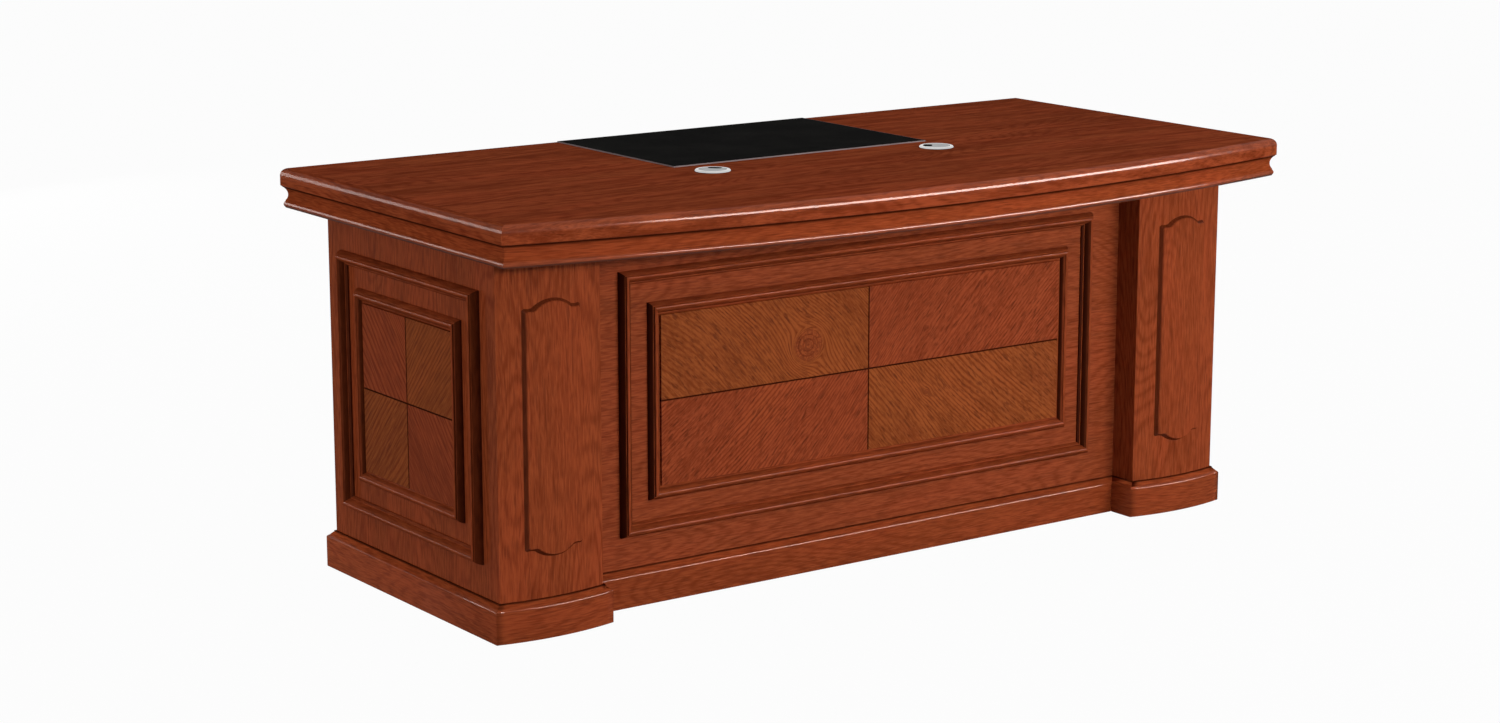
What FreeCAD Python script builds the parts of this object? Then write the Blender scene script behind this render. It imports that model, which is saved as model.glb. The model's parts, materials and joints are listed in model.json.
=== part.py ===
import FreeCAD
import Part
import math
import os

from FreeCAD import Vector

# Executive desk with a bow-front top on two pedestals.
# Millimetres, +Z up, origin on the floor under the middle of the top.
# The visitor sits at -Y and the user at +Y, and left and right are the visitor's.

# Driving dimensions of the whole desk
TOP_LENGTH = 1800.0
TOP_DEPTH = 900.0
TOP_BOW = 100.0
DESK_HEIGHT = 760.0

# Desktop board and the moulding under its edge
BOARD_THICKNESS = 34.0
BOARD_ROUNDING = 14.0
EDGE_MOULDING_HEIGHT = 41.0
EDGE_MOULDING_WIDTH = 45.0
BATTEN_WIDTH = 45.0

# Pedestals
PANEL = 20.0
SHELF_BOARD = 18.0
SIDE_OVERHANG = 50.0
USER_OVERHANG = 90.0
PEDESTAL_DEPTH = 600.0
PEDESTAL_WIDTH = 420.0
PILASTER_WIDTH = 214.0
PILASTER_PROJECTION = 60.0
PILASTER_BOW = 12.0
PILASTER_EDGE = 25.0
PLINTH_PROJECTION = 14.5
PLINTH_HEIGHT = 71.0
PLINTH_FACE = 59.0

# Raised cartouche on the pilaster
CARTOUCHE_WIDTH = 119.0
CARTOUCHE_HEIGHT = 466.0
CARTOUCHE_RAISE = 8.0
CARTOUCHE_BEVEL = 5.0
CARTOUCHE_ARCH_RISE = 15.0
CARTOUCHE_SHOULDER = 18.0

# Panel mouldings and the quarter boards inside them
FRAME_TOP = 620.0
FRAME_BOTTOM = 130.0
SIDE_FRAME_MARGIN = 52.0
MODESTY_FRAME_MARGIN = 76.0
FRAME_STEP = 62.0
FRAME_WIDTH = 25.0
OUTER_FRAME_RAISE = 19.0
INNER_FRAME_RAISE = 16.0
QUARTER_THICKNESS = 8.0
QUARTER_GROOVE = 1.6

# Writing pad and cable grommets
PAD_WIDTH = 600.0
PAD_DEPTH = 410.0
PAD_REAR_MARGIN = 18.0
PAD_THICKNESS = 7.0
PAD_RECESS = 4.0
PAD_GAP = 0.5
PAD_EDGE_RADIUS = 2.5
GROMMET_SPACING = 532.0
GROMMET_Y = -55.0
GROMMET_FLANGE_RADIUS = 34.0
GROMMET_FLANGE_HEIGHT = 4.0
GROMMET_FLANGE_BEVEL = 2.2
GROMMET_TUBE_RADIUS = 29.7
GROMMET_HOLE_PLAY = 0.3
GROMMET_BORE_RADIUS = 26.0
GROMMET_LEDGE_RADIUS = 22.0
GROMMET_LEDGE_DEPTH = 4.0
GROMMET_CAP_GAP = 0.3
GROMMET_NOTCH_WIDTH = 26.0
GROMMET_NOTCH_REACH = 8.0
LEFT_NOTCH_ANGLE = 42.0
RIGHT_NOTCH_ANGLE = 143.0

# Drawers and door
FRONT_THICKNESS = 20.0
FRONT_GAP = 2.0
DRAWER_GAP = 3.0
DRAWER_HEIGHTS = {"bottom": 265.0, "middle": 176.0, "top": 126.0}
DRAWER_BOX_CUT = 40.0
DRAWER_DEPTH = 450.0
DRAWER_WALL = 12.0
DRAWER_BOTTOM = 6.0
DRAWER_BOTTOM_UP = 10.0
SLIDE_SPACE = 13.0
SLIDE_HEIGHT = 36.0
SLIDE_DEPTH = 9.5
SLIDE_SHEET = 1.6
SLIDE_PLAY = 0.6
SLIDE_END_GAP = 5.0
CENTRE_FRONT_HEIGHT = 65.0
CENTRE_FRONT_TOP = 681.0
CENTRE_BOX_CUT = 17.0
CENTRE_DEPTH = 380.0
FIELD_MARGIN = 26.0
CENTRE_FIELD_MARGIN = 12.0
FIELD_BEVEL = 9.0
FIELD_RAISE = 4.0

# Bow pulls
PULL_SPAN = 128.0
PULL_REACH = 28.0
PULL_STRAP_WIDTH = 11.0
PULL_STRAP_THICKNESS = 5.0
PULL_FOOT_LENGTH = 20.0
PULL_FOOT_HEIGHT = 2.5
DOOR_PULL_INSET = 34.0
DOOR_PULL_Z = 470.0

# Lift-off hinges
HINGE_HEIGHT = 64.0
HINGE_LEAF = 0.9
HINGE_LEAF_REACH = 26.0
HINGE_KNUCKLE_RADIUS = 4.0
HINGE_STAND_OFF = 0.6
HINGE_PIN_RADIUS = 2.0
HINGE_RUNNING_GAP = 0.05
HINGE_SEAT_GAP = 0.01
HINGE_KNUCKLE_GAP = 0.4
HINGE_END_INSET = 70.0

# Cupboard shelf
SHELF_Z = 380.0
SHELF_SETBACK = 30.0
SHELF_SIDE_GAP = 1.0
CLEAT_WIDTH = 14.0
CLEAT_HEIGHT = 22.0

# Sizes worked out from the driving dimensions
END_X = TOP_LENGTH / 2
REAR_Y = TOP_DEPTH / 2
APEX_Y = -TOP_DEPTH / 2
CORNER_Y = APEX_Y + TOP_BOW
BOW_RADIUS = (END_X ** 2 + TOP_BOW ** 2) / (2 * TOP_BOW)
BOW_CENTRE_Y = APEX_Y + BOW_RADIUS
BOARD_Z = DESK_HEIGHT - BOARD_THICKNESS
CARCASS_Z = BOARD_Z - EDGE_MOULDING_HEIGHT
OUTER_X = END_X - SIDE_OVERHANG
WALL_X = OUTER_X - PANEL
KNEE_X = OUTER_X - PEDESTAL_WIDTH
KNEE_WALL_X = KNEE_X + PANEL
RETURN_X = OUTER_X - PILASTER_WIDTH
USER_Y = REAR_Y - USER_OVERHANG
FRONT_Y = USER_Y - PEDESTAL_DEPTH
MODESTY_Y = FRONT_Y + PILASTER_PROJECTION
MODESTY_BACK_Y = MODESTY_Y + PANEL
PILASTER_BACK_Y = FRONT_Y + PILASTER_EDGE
PILASTER_X = (OUTER_X + RETURN_X) / 2
PILASTER_RADIUS = ((PILASTER_WIDTH / 2) ** 2 + PILASTER_BOW ** 2) / (2 * PILASTER_BOW)
PILASTER_CENTRE_Y = FRONT_Y - PILASTER_BOW + PILASTER_RADIUS
FRAME_MID_Z = (FRAME_TOP + FRAME_BOTTOM) / 2
FRAME_HALF_Z = (FRAME_TOP - FRAME_BOTTOM) / 2
FLOOR_BOARD_Z = PLINTH_HEIGHT
OPENING_Z = FLOOR_BOARD_Z + SHELF_BOARD
OPENING_TOP_Z = CARCASS_Z - SHELF_BOARD
FRONT_BACK_Y = USER_Y - FRONT_THICKNESS
HINGE_X = WALL_X - FRONT_GAP / 2
HINGE_Y = USER_Y + HINGE_KNUCKLE_RADIUS + HINGE_STAND_OFF

EAST = Vector(1, 0, 0)
NORTH = Vector(0, 1, 0)
UP = Vector(0, 0, 1)


def block(x0, x1, y0, y1, z0, z1):
    """Board between two opposite corners, in either order along X."""
    low_x = min(x0, x1)
    return Part.makeBox(abs(x1 - x0), y1 - y0, z1 - z0, Vector(low_x, y0, z0))


def outline(place, start, steps):
    """Closed wire; a step is an end point, or a (through, end) pair for an arc."""
    edges = []
    here = place(*start)
    for step in steps:
        if isinstance(step[0], tuple):
            end = place(*step[1])
            edges.append(Part.Arc(here, place(*step[0]), end).toShape())
        else:
            end = place(*step)
            edges.append(Part.LineSegment(here, end).toShape())
        here = end
    if here.distanceToPoint(place(*start)) > 1e-6:
        edges.append(Part.LineSegment(here, place(*start)).toShape())
    return Part.Wire(edges)


def profile(place, start, steps):
    """Flat face inside an outline."""
    return Part.Face(outline(place, start, steps))


def plan_prism(points, z0, z1):
    """Upright prism over a polygon in plan."""
    face = profile(lambda x, y: Vector(x, y, z0), points[0], points[1:])
    return face.extrude(UP * (z1 - z0))


def disc(x, y, z0, z1, radius):
    """Upright cylinder."""
    return Part.makeCylinder(radius, z1 - z0, Vector(x, y, z0))


def flipped(shape):
    """The same piece on the other side of the desk."""
    return shape.mirror(Vector(0, 0, 0), EAST)


def save(name, *solids):
    """Check each solid and write the piece, or the group of like pieces, to its file."""
    for solid in solids:
        if not solid.isValid() or len(solid.Solids) != 1 or solid.Volume <= 0:
            raise ValueError(f"{name} is not one sound solid")
    shape = solids[0] if len(solids) == 1 else Part.makeCompound(list(solids))
    shape.exportStep(f"parts/{name}.step")


# Desktop

EDGE_PROFILE_START = (2.0, 0.0)
EDGE_PROFILE = [
    (2.0, -1.0),
    ((10.4, -15.0), (6.6, -27.0)),
    (6.6, -28.5),
    ((4.4, -31.15), (3.6, -34.5)),
    ((4.4, -37.85), (6.6, -40.5)),
    (6.6, -EDGE_MOULDING_HEIGHT),
    (EDGE_MOULDING_WIDTH, -EDGE_MOULDING_HEIGHT),
    (EDGE_MOULDING_WIDTH, 0.0),
]


def desktop_board():
    """Bow-front board with a rounded upper edge, a recess for the pad and two cable holes."""
    plan = [(END_X, REAR_Y), (END_X, CORNER_Y), ((0.0, APEX_Y), (-END_X, CORNER_Y))]
    face = profile(lambda x, y: Vector(x, y, BOARD_Z), (-END_X, REAR_Y), plan)
    board = face.extrude(UP * BOARD_THICKNESS)
    rim = [e for e in board.Edges if e.BoundBox.ZMin > DESK_HEIGHT - 1e-3]
    board = board.makeFillet(BOARD_ROUNDING, rim)
    half = PAD_WIDTH / 2 + PAD_GAP
    rear = REAR_Y - PAD_REAR_MARGIN + PAD_GAP
    near = REAR_Y - PAD_REAR_MARGIN - PAD_DEPTH - PAD_GAP
    board = board.cut(block(-half, half, near, rear, DESK_HEIGHT - PAD_RECESS, DESK_HEIGHT + 1))
    for x in (-GROMMET_SPACING / 2, GROMMET_SPACING / 2):
        hole = GROMMET_TUBE_RADIUS + GROMMET_HOLE_PLAY
        board = board.cut(disc(x, GROMMET_Y, BOARD_Z - 1, DESK_HEIGHT + 1, hole))
    return board


def edge_mouldings():
    """Cove-and-bead lengths under the board, mitred at the four corners."""
    inner_x = END_X - EDGE_MOULDING_WIDTH
    inner_rear = REAR_Y - EDGE_MOULDING_WIDTH
    inner_radius = BOW_RADIUS - EDGE_MOULDING_WIDTH
    inner_front = BOW_CENTRE_Y - math.sqrt(inner_radius ** 2 - inner_x ** 2)
    low = CARCASS_Z - 1
    high = BOARD_Z + 1

    front = profile(lambda d, h: Vector(0, APEX_Y + d, BOARD_Z + h), EDGE_PROFILE_START, EDGE_PROFILE)
    swing = math.degrees(math.asin(END_X / BOW_RADIUS)) + 1
    pivot = Vector(0, BOW_CENTRE_Y, 0)
    front.rotate(pivot, UP, -swing)
    bowed = front.revolve(pivot, UP, 2 * swing)
    mitre = [(-END_X, CORNER_Y), (-inner_x, inner_front), (inner_x, inner_front), (END_X, CORNER_Y),
             (END_X, APEX_Y - 1), (-END_X, APEX_Y - 1)]
    bowed = bowed.common(plan_prism(mitre, low, high)).Solids[0]

    side = profile(lambda d, h: Vector(d - END_X, CORNER_Y, BOARD_Z + h), EDGE_PROFILE_START, EDGE_PROFILE)
    mitre = [(-END_X, CORNER_Y), (-inner_x, inner_front), (-inner_x, inner_rear), (-END_X, REAR_Y)]
    left = side.extrude(NORTH * (REAR_Y - CORNER_Y)).common(plan_prism(mitre, low, high)).Solids[0]

    back = profile(lambda d, h: Vector(-END_X, REAR_Y - d, BOARD_Z + h), EDGE_PROFILE_START, EDGE_PROFILE)
    mitre = [(-END_X, REAR_Y), (-inner_x, inner_rear), (inner_x, inner_rear), (END_X, REAR_Y)]
    rear = back.extrude(EAST * TOP_LENGTH).common(plan_prism(mitre, low, high)).Solids[0]
    return {"front": [bowed], "ends": [left, flipped(left)], "rear": [rear]}


def battens():
    """Two long battens and four short ones that carry the board on the pedestals."""
    front_y = MODESTY_BACK_Y + BATTEN_WIDTH
    rear_y = USER_Y - BATTEN_WIDTH
    pieces = [block(-WALL_X, WALL_X, MODESTY_BACK_Y, front_y, CARCASS_Z, BOARD_Z),
              block(-WALL_X, WALL_X, rear_y, USER_Y, CARCASS_Z, BOARD_Z)]
    for x in (KNEE_X, WALL_X - BATTEN_WIDTH):
        cross = block(x, x + BATTEN_WIDTH, front_y, rear_y, CARCASS_Z, BOARD_Z)
        pieces += [cross, flipped(cross)]
    return pieces


def writing_pad():
    """Leather pad that sits in the board's recess and stands a little proud."""
    rear = REAR_Y - PAD_REAR_MARGIN
    low = DESK_HEIGHT - PAD_RECESS
    pad = block(-PAD_WIDTH / 2, PAD_WIDTH / 2, rear - PAD_DEPTH, rear, low, low + PAD_THICKNESS)
    rim = [e for e in pad.Edges if e.BoundBox.ZMin > low + PAD_THICKNESS - 1e-3]
    return pad.makeFillet(PAD_EDGE_RADIUS, rim)


def grommet_sleeve(x):
    """Flanged sleeve through the board, with a ledge that the cap turns on."""
    lip = DESK_HEIGHT + GROMMET_FLANGE_HEIGHT
    ledge = lip - GROMMET_LEDGE_DEPTH
    steps = [
        (GROMMET_TUBE_RADIUS, BOARD_Z),
        (GROMMET_TUBE_RADIUS, DESK_HEIGHT),
        (GROMMET_FLANGE_RADIUS, DESK_HEIGHT),
        (GROMMET_FLANGE_RADIUS, lip - GROMMET_FLANGE_BEVEL),
        (GROMMET_FLANGE_RADIUS - GROMMET_FLANGE_BEVEL, lip),
        (GROMMET_BORE_RADIUS, lip),
        (GROMMET_BORE_RADIUS, ledge),
        (GROMMET_LEDGE_RADIUS, ledge),
    ]
    section = profile(lambda r, z: Vector(x + r, GROMMET_Y, z), (GROMMET_LEDGE_RADIUS, BOARD_Z), steps)
    return section.revolve(Vector(x, GROMMET_Y, 0), UP, 360)


def grommet_cap(x, notch_angle):
    """Turning cap, flush with the sleeve's lip, with a round-cornered cable notch."""
    radius = GROMMET_BORE_RADIUS - GROMMET_CAP_GAP
    crown = DESK_HEIGHT + GROMMET_FLANGE_HEIGHT
    low = crown - GROMMET_LEDGE_DEPTH
    cap = disc(x, GROMMET_Y, low, crown, radius)
    half = GROMMET_NOTCH_WIDTH / 2
    notch = block(x + GROMMET_NOTCH_REACH, x + 2 * radius, GROMMET_Y - half, GROMMET_Y + half,
                  low - 1, crown + 1)
    corners = [e for e in notch.Edges if abs(e.BoundBox.XMax - x - GROMMET_NOTCH_REACH) < 1e-3
               and e.BoundBox.ZLength > 1]
    notch = notch.makeFillet(half / 2, corners)
    notch.rotate(Vector(x, GROMMET_Y, 0), UP, notch_angle)
    return cap.cut(notch).Solids[0]


# Panel mouldings

def moulding_profile(raise_):
    """Outline of a panel moulding: cove outside, bead on top, ogee inside, by its height."""
    bead = raise_ - 3.5
    return [
        (0.0, 3.0),
        ((1.4, bead * 0.55), (5.5, bead)),
        (6.5, bead),
        ((10.0, raise_), (14.0, bead + 1.5)),
        ((18.6, bead * 0.72), (20.5, bead * 0.42)),
        (22.0, bead * 0.42),
        (FRAME_WIDTH, 3.0),
        (FRAME_WIDTH, 0.0),
    ]


def mitred_frame(centre, along_u, along_v, normal, half_u, half_v, raise_):
    """Four moulding strips round a rectangle, mitred at its corners."""
    strips = []
    runs = ((along_u, along_v, half_u, half_v), (along_v, along_u, half_v, half_u))
    for along, across, half_along, half_across in runs:
        for inward in (across, across * -1):
            corner = centre - inward * half_across - along * half_along
            far = corner + along * (2 * half_along)
            section = profile(lambda d, h: corner + inward * d + normal * h, (0.0, 0.0),
                              moulding_profile(raise_))
            mitre = Part.makePolygon([corner, far, far + (inward - along) * FRAME_WIDTH,
                                      corner + (inward + along) * FRAME_WIDTH, corner])
            wedge = Part.Face(mitre).extrude(normal * raise_)
            strips.append(section.extrude(along * (2 * half_along)).common(wedge).Solids[0])
    return strips


def quarter_boards(centre, along_u, along_v, normal, half_u, half_v):
    """Four boards that meet in a V-groove cross."""
    boards = []
    for sign_u in (-1, 1):
        for sign_v in (-1, 1):
            corner = centre + along_u * (sign_u * half_u) + along_v * (sign_v * half_v)
            floor = Part.makePolygon([centre, centre + along_u * (sign_u * half_u), corner,
                                      centre + along_v * (sign_v * half_v), centre])
            board = Part.Face(floor).extrude(normal * QUARTER_THICKNESS)
            top = centre + normal * QUARTER_THICKNESS
            groove = []
            for edge in board.Edges:
                middle = edge.CenterOfMass - top
                on_top = abs(middle.dot(normal)) < 1e-3
                on_cross = min(abs(middle.dot(along_u)), abs(middle.dot(along_v))) < 1e-3
                if on_top and on_cross:
                    groove.append(edge)
            boards.append(board.makeChamfer(QUARTER_GROOVE, groove))
    return boards


def framed_field(centre, along_u, normal, half_u):
    """Outer frame, inner frame and quarter boards of one panelled face."""
    inner_u = half_u - FRAME_STEP
    inner_v = FRAME_HALF_Z - FRAME_STEP
    outer = mitred_frame(centre, along_u, UP, normal, half_u, FRAME_HALF_Z, OUTER_FRAME_RAISE)
    inner = mitred_frame(centre, along_u, UP, normal, inner_u, inner_v, INNER_FRAME_RAISE)
    field = quarter_boards(centre, along_u, UP, normal, inner_u - FRAME_WIDTH, inner_v - FRAME_WIDTH)
    return outer, inner, field


# Pedestals, drawn for the left one

PLINTH_PROFILE = [
    (PLINTH_PROJECTION, 0.0),
    (PLINTH_PROJECTION, PLINTH_FACE),
    (PLINTH_PROJECTION - 2.2, PLINTH_FACE + 2.2),
    (PLINTH_PROJECTION - 4.0, PLINTH_FACE + 3.2),
    (3.5, PLINTH_HEIGHT - 1.8),
    (3.5, PLINTH_HEIGHT),
    (0.0, PLINTH_HEIGHT),
]


def plinth_run(start, end, outward, plan):
    """Straight plinth board along a panel foot, trimmed to its mitred plan."""
    begin = Vector(start[0], start[1], 0)
    run = Vector(end[0], end[1], 0) - begin
    lead = Vector(run).normalize() * (2 * PLINTH_PROJECTION)
    section = profile(lambda o, z: begin - lead + outward * o + UP * z, (0.0, 0.0), PLINTH_PROFILE)
    board = section.extrude(run + lead * 2)
    return board.common(plan_prism(plan, 0, PLINTH_HEIGHT)).Solids[0]


def on_plinth_bow(x):
    """Y of the bowed plinth's outer face at a given X on the left pedestal."""
    radius = PILASTER_RADIUS + PLINTH_PROJECTION
    return PILASTER_CENTRE_Y - math.sqrt(radius ** 2 - (x + PILASTER_X) ** 2)


def pedestal_plinth():
    """Side, bowed front, return, rear and knee-side boards with mitred corners."""
    out_x = -OUTER_X - PLINTH_PROJECTION
    return_x = -RETURN_X + PLINTH_PROJECTION
    knee_x = -KNEE_X + PLINTH_PROJECTION
    rear_y = USER_Y + PLINTH_PROJECTION
    modesty_y = MODESTY_Y - PLINTH_PROJECTION
    rear_outer = ((-OUTER_X, USER_Y), (out_x, rear_y))
    rear_inner = ((-KNEE_X, USER_Y), (knee_x, rear_y))
    front_outer = ((-OUTER_X, FRONT_Y), (out_x, on_plinth_bow(out_x)))
    front_inner = ((-RETURN_X, FRONT_Y), (return_x, on_plinth_bow(return_x)))
    niche = ((-RETURN_X, MODESTY_Y), (return_x, modesty_y))
    knee_end = ((-KNEE_X, MODESTY_BACK_Y), (knee_x, MODESTY_BACK_Y))

    runs = []
    for first, last, outward in ((rear_outer, front_outer, EAST * -1), (front_inner, niche, EAST),
                                 (rear_outer, rear_inner, NORTH), (rear_inner, knee_end, EAST)):
        runs.append(plinth_run(first[0], last[0], outward, [first[0], last[0], last[1], first[1]]))

    pivot = Vector(-PILASTER_X, PILASTER_CENTRE_Y, 0)
    section = profile(lambda o, z: pivot + Vector(0, -PILASTER_RADIUS - o, z), (0.0, 0.0), PLINTH_PROFILE)
    swing = math.degrees(math.asin(PILASTER_WIDTH / 2 / PILASTER_RADIUS)) + 3
    section.rotate(pivot, UP, -swing)
    bowed = section.revolve(pivot, UP, 2 * swing)
    reach_y = FRONT_Y - 3 * PLINTH_PROJECTION
    plan = [front_outer[0], front_inner[0], front_inner[1], (return_x, reach_y), (out_x, reach_y),
            front_outer[1]]
    runs.append(bowed.common(plan_prism(plan, 0, PLINTH_HEIGHT)).Solids[0])
    return runs


def pilaster():
    """Bow-front upright with a flat back."""
    plan = [((-PILASTER_X, FRONT_Y - PILASTER_BOW), (-RETURN_X, FRONT_Y)),
            (-RETURN_X, PILASTER_BACK_Y), (-OUTER_X, PILASTER_BACK_Y)]
    face = profile(lambda x, y: Vector(x, y, 0), (-OUTER_X, FRONT_Y), plan)
    return face.extrude(UP * BOARD_Z)


def cartouche_wire(y, inset):
    """Upright panel outline with an arched head and foot between small concave shoulders."""
    half = CARTOUCHE_WIDTH / 2 - inset
    peak = CARTOUCHE_HEIGHT / 2 - inset
    spring = peak - CARTOUCHE_ARCH_RISE
    arch = half - CARTOUCHE_SHOULDER
    side = spring - 5.0
    dip = (half + arch) / 2

    def head(sign):
        """Steps from one end of the head to the other; the foot is the same, turned over."""
        return [((sign * (half - 2.2), sign * (side + 2.6)), (sign * (half - 6.0), sign * (side + 3.6))),
                ((sign * (dip - 1.6), sign * (side + 3.4)), (sign * arch, sign * spring)),
                ((0.0, sign * peak), (-sign * arch, sign * spring)),
                ((-sign * (dip - 1.6), sign * (side + 3.4)), (-sign * (half - 6.0), sign * (side + 3.6))),
                ((-sign * (half - 2.2), sign * (side + 2.6)), (-sign * half, sign * side))]

    steps = head(1) + [(-half, -side)] + head(-1)
    return outline(lambda u, v: Vector(-PILASTER_X + u, y, FRAME_MID_Z + v), (half, side), steps)


def cartouche():
    """Bevelled plate whose face follows the pilaster's bow."""
    edge_bow = PILASTER_BOW - (CARTOUCHE_WIDTH / 2) ** 2 / (2 * PILASTER_RADIUS)
    foot = FRONT_Y - edge_bow
    reach = FRONT_Y - PILASTER_BOW - CARTOUCHE_RAISE
    taper = CARTOUCHE_BEVEL / CARTOUCHE_RAISE
    wires = [cartouche_wire(foot, 0.0), cartouche_wire(reach, taper * (foot - reach))]
    plate = Part.makeLoft(wires, True, True)
    low = FRAME_MID_Z - CARTOUCHE_HEIGHT
    high = FRAME_MID_Z + CARTOUCHE_HEIGHT
    face = disc(-PILASTER_X, PILASTER_CENTRE_Y, low, high, PILASTER_RADIUS + CARTOUCHE_RAISE)
    wall = disc(-PILASTER_X, PILASTER_CENTRE_Y, low, high, PILASTER_RADIUS)
    return plate.common(face).cut(wall).Solids[0]


def pedestal():
    """Fixed pieces of the left pedestal, by name."""
    side_centre = Vector(-OUTER_X, (FRONT_Y + USER_Y) / 2, FRAME_MID_Z)
    half = PEDESTAL_DEPTH / 2 - SIDE_FRAME_MARGIN
    outer, inner, field = framed_field(side_centre, NORTH, EAST * -1, half)
    return {
        "side_panel": [block(-OUTER_X, -WALL_X, PILASTER_BACK_Y, USER_Y, 0, BOARD_Z)],
        "inner_panel": [block(-KNEE_WALL_X, -KNEE_X, MODESTY_BACK_Y, USER_Y, 0, CARCASS_Z)],
        "bottom_board": [block(-WALL_X, -KNEE_WALL_X, MODESTY_BACK_Y, USER_Y, FLOOR_BOARD_Z, OPENING_Z)],
        "top_board": [block(-WALL_X, -KNEE_WALL_X, MODESTY_BACK_Y, USER_Y, OPENING_TOP_Z, CARCASS_Z)],
        "pilaster": [pilaster()],
        "pilaster_return": [block(-RETURN_X - PANEL, -RETURN_X, PILASTER_BACK_Y, MODESTY_Y, 0, BOARD_Z)],
        "cartouche": [cartouche()],
        "plinth": pedestal_plinth(),
        "side_outer_moulding": outer,
        "side_inner_moulding": inner,
        "side_quarter_boards": field,
    }


def modesty():
    """Front panel across both pedestals, its mouldings, quarter boards and plinth."""
    plinth_y = MODESTY_Y - PLINTH_PROJECTION
    ends = RETURN_X - PLINTH_PROJECTION
    plan = [(-RETURN_X, MODESTY_Y), (RETURN_X, MODESTY_Y), (ends, plinth_y), (-ends, plinth_y)]
    outer, inner, field = framed_field(Vector(0, MODESTY_Y, FRAME_MID_Z), EAST, NORTH * -1,
                                       RETURN_X - MODESTY_FRAME_MARGIN)
    return {
        "modesty_panel": [block(-WALL_X, WALL_X, MODESTY_Y, MODESTY_BACK_Y, 0, BOARD_Z)],
        "modesty_outer_moulding": outer,
        "modesty_inner_moulding": inner,
        "modesty_quarter_boards": field,
        "modesty_plinth": [plinth_run(plan[0], plan[1], NORTH * -1, plan)],
    }


# Drawers

def fielded_front(x0, x1, z0, z1, margin):
    """Inset front board with a bevelled raised field."""
    base_y = USER_Y - FIELD_RAISE
    board = block(x0, x1, FRONT_BACK_Y, base_y, z0, z1)
    wires = []
    for inset, y in ((margin, base_y), (margin + FIELD_BEVEL, USER_Y)):
        corners = [(x1 - inset, z0 + inset), (x1 - inset, z1 - inset), (x0 + inset, z1 - inset)]
        wires.append(outline(lambda x, z: Vector(x, y, z), (x0 + inset, z0 + inset), corners))
    return board.fuse(Part.makeLoft(wires, True, True)).removeSplitter().Solids[0]


def drawer_box(x0, x1, z0, z1, depth):
    """Two sides, a back and a bottom behind a drawer front."""
    rear_y = FRONT_BACK_Y - depth
    floor = z0 + DRAWER_BOTTOM_UP
    inner = (x0 + DRAWER_WALL, x1 - DRAWER_WALL)
    return [block(x0, inner[0], rear_y, FRONT_BACK_Y, z0, z1),
            block(inner[1], x1, rear_y, FRONT_BACK_Y, z0, z1),
            block(inner[0], inner[1], rear_y, rear_y + DRAWER_WALL, z0, z1),
            block(inner[0], inner[1], rear_y + DRAWER_WALL, FRONT_BACK_Y, floor, floor + DRAWER_BOTTOM)]


def slide_pair(wall_x, inward, z, depth):
    """Channel fixed to a wall and the bar of a drawer that runs in it."""
    half = SLIDE_HEIGHT / 2
    start = FRONT_BACK_Y - depth + SLIDE_END_GAP
    length = depth - 2 * SLIDE_END_GAP
    inner = half - SLIDE_SHEET
    bar = inner - SLIDE_PLAY
    bar_inner = bar - SLIDE_SHEET
    web = SLIDE_SPACE - SLIDE_SHEET
    lip = SLIDE_SHEET + SLIDE_PLAY

    def place(u, v):
        """Point of the section, measured out from the wall and up from the slide's middle."""
        return Vector(wall_x + inward * u, start, z + v)

    channel = profile(place, (0.0, -half), [
        (SLIDE_DEPTH, -half), (SLIDE_DEPTH, -inner), (SLIDE_SHEET, -inner), (SLIDE_SHEET, inner),
        (SLIDE_DEPTH, inner), (SLIDE_DEPTH, half), (0.0, half)])
    runner = profile(place, (SLIDE_SPACE, -bar), [
        (SLIDE_SPACE, bar), (lip, bar), (lip, bar_inner), (web, bar_inner), (web, -bar_inner),
        (lip, -bar_inner), (lip, -bar)])
    return channel.extrude(NORTH * length), runner.extrude(NORTH * length)


def bow_pull(x, z, upright):
    """Arched strap on two flat feet, lying across the front or standing upright."""
    radius = ((PULL_SPAN / 2) ** 2 + PULL_REACH ** 2) / (2 * PULL_REACH)
    pivot_y = USER_Y + PULL_REACH - radius
    low = z - PULL_STRAP_WIDTH / 2
    high = z + PULL_STRAP_WIDTH / 2
    outer = radius + PULL_STRAP_THICKNESS / 2
    inner = radius - PULL_STRAP_THICKNESS / 2
    ring = disc(x, pivot_y, low, high, outer).cut(disc(x, pivot_y, low, high, inner))
    pull = ring.common(block(x - outer, x + outer, USER_Y, pivot_y + outer, low, high))
    for side in (-1, 1):
        foot_x = x + side * PULL_SPAN / 2
        pull = pull.fuse(block(foot_x - PULL_FOOT_LENGTH / 2, foot_x + PULL_FOOT_LENGTH / 2,
                               USER_Y, USER_Y + PULL_FOOT_HEIGHT, low, high))
    pull = pull.removeSplitter().Solids[0]
    if upright:
        pull.rotate(Vector(x, USER_Y, z), NORTH, 90)
    return pull


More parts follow.
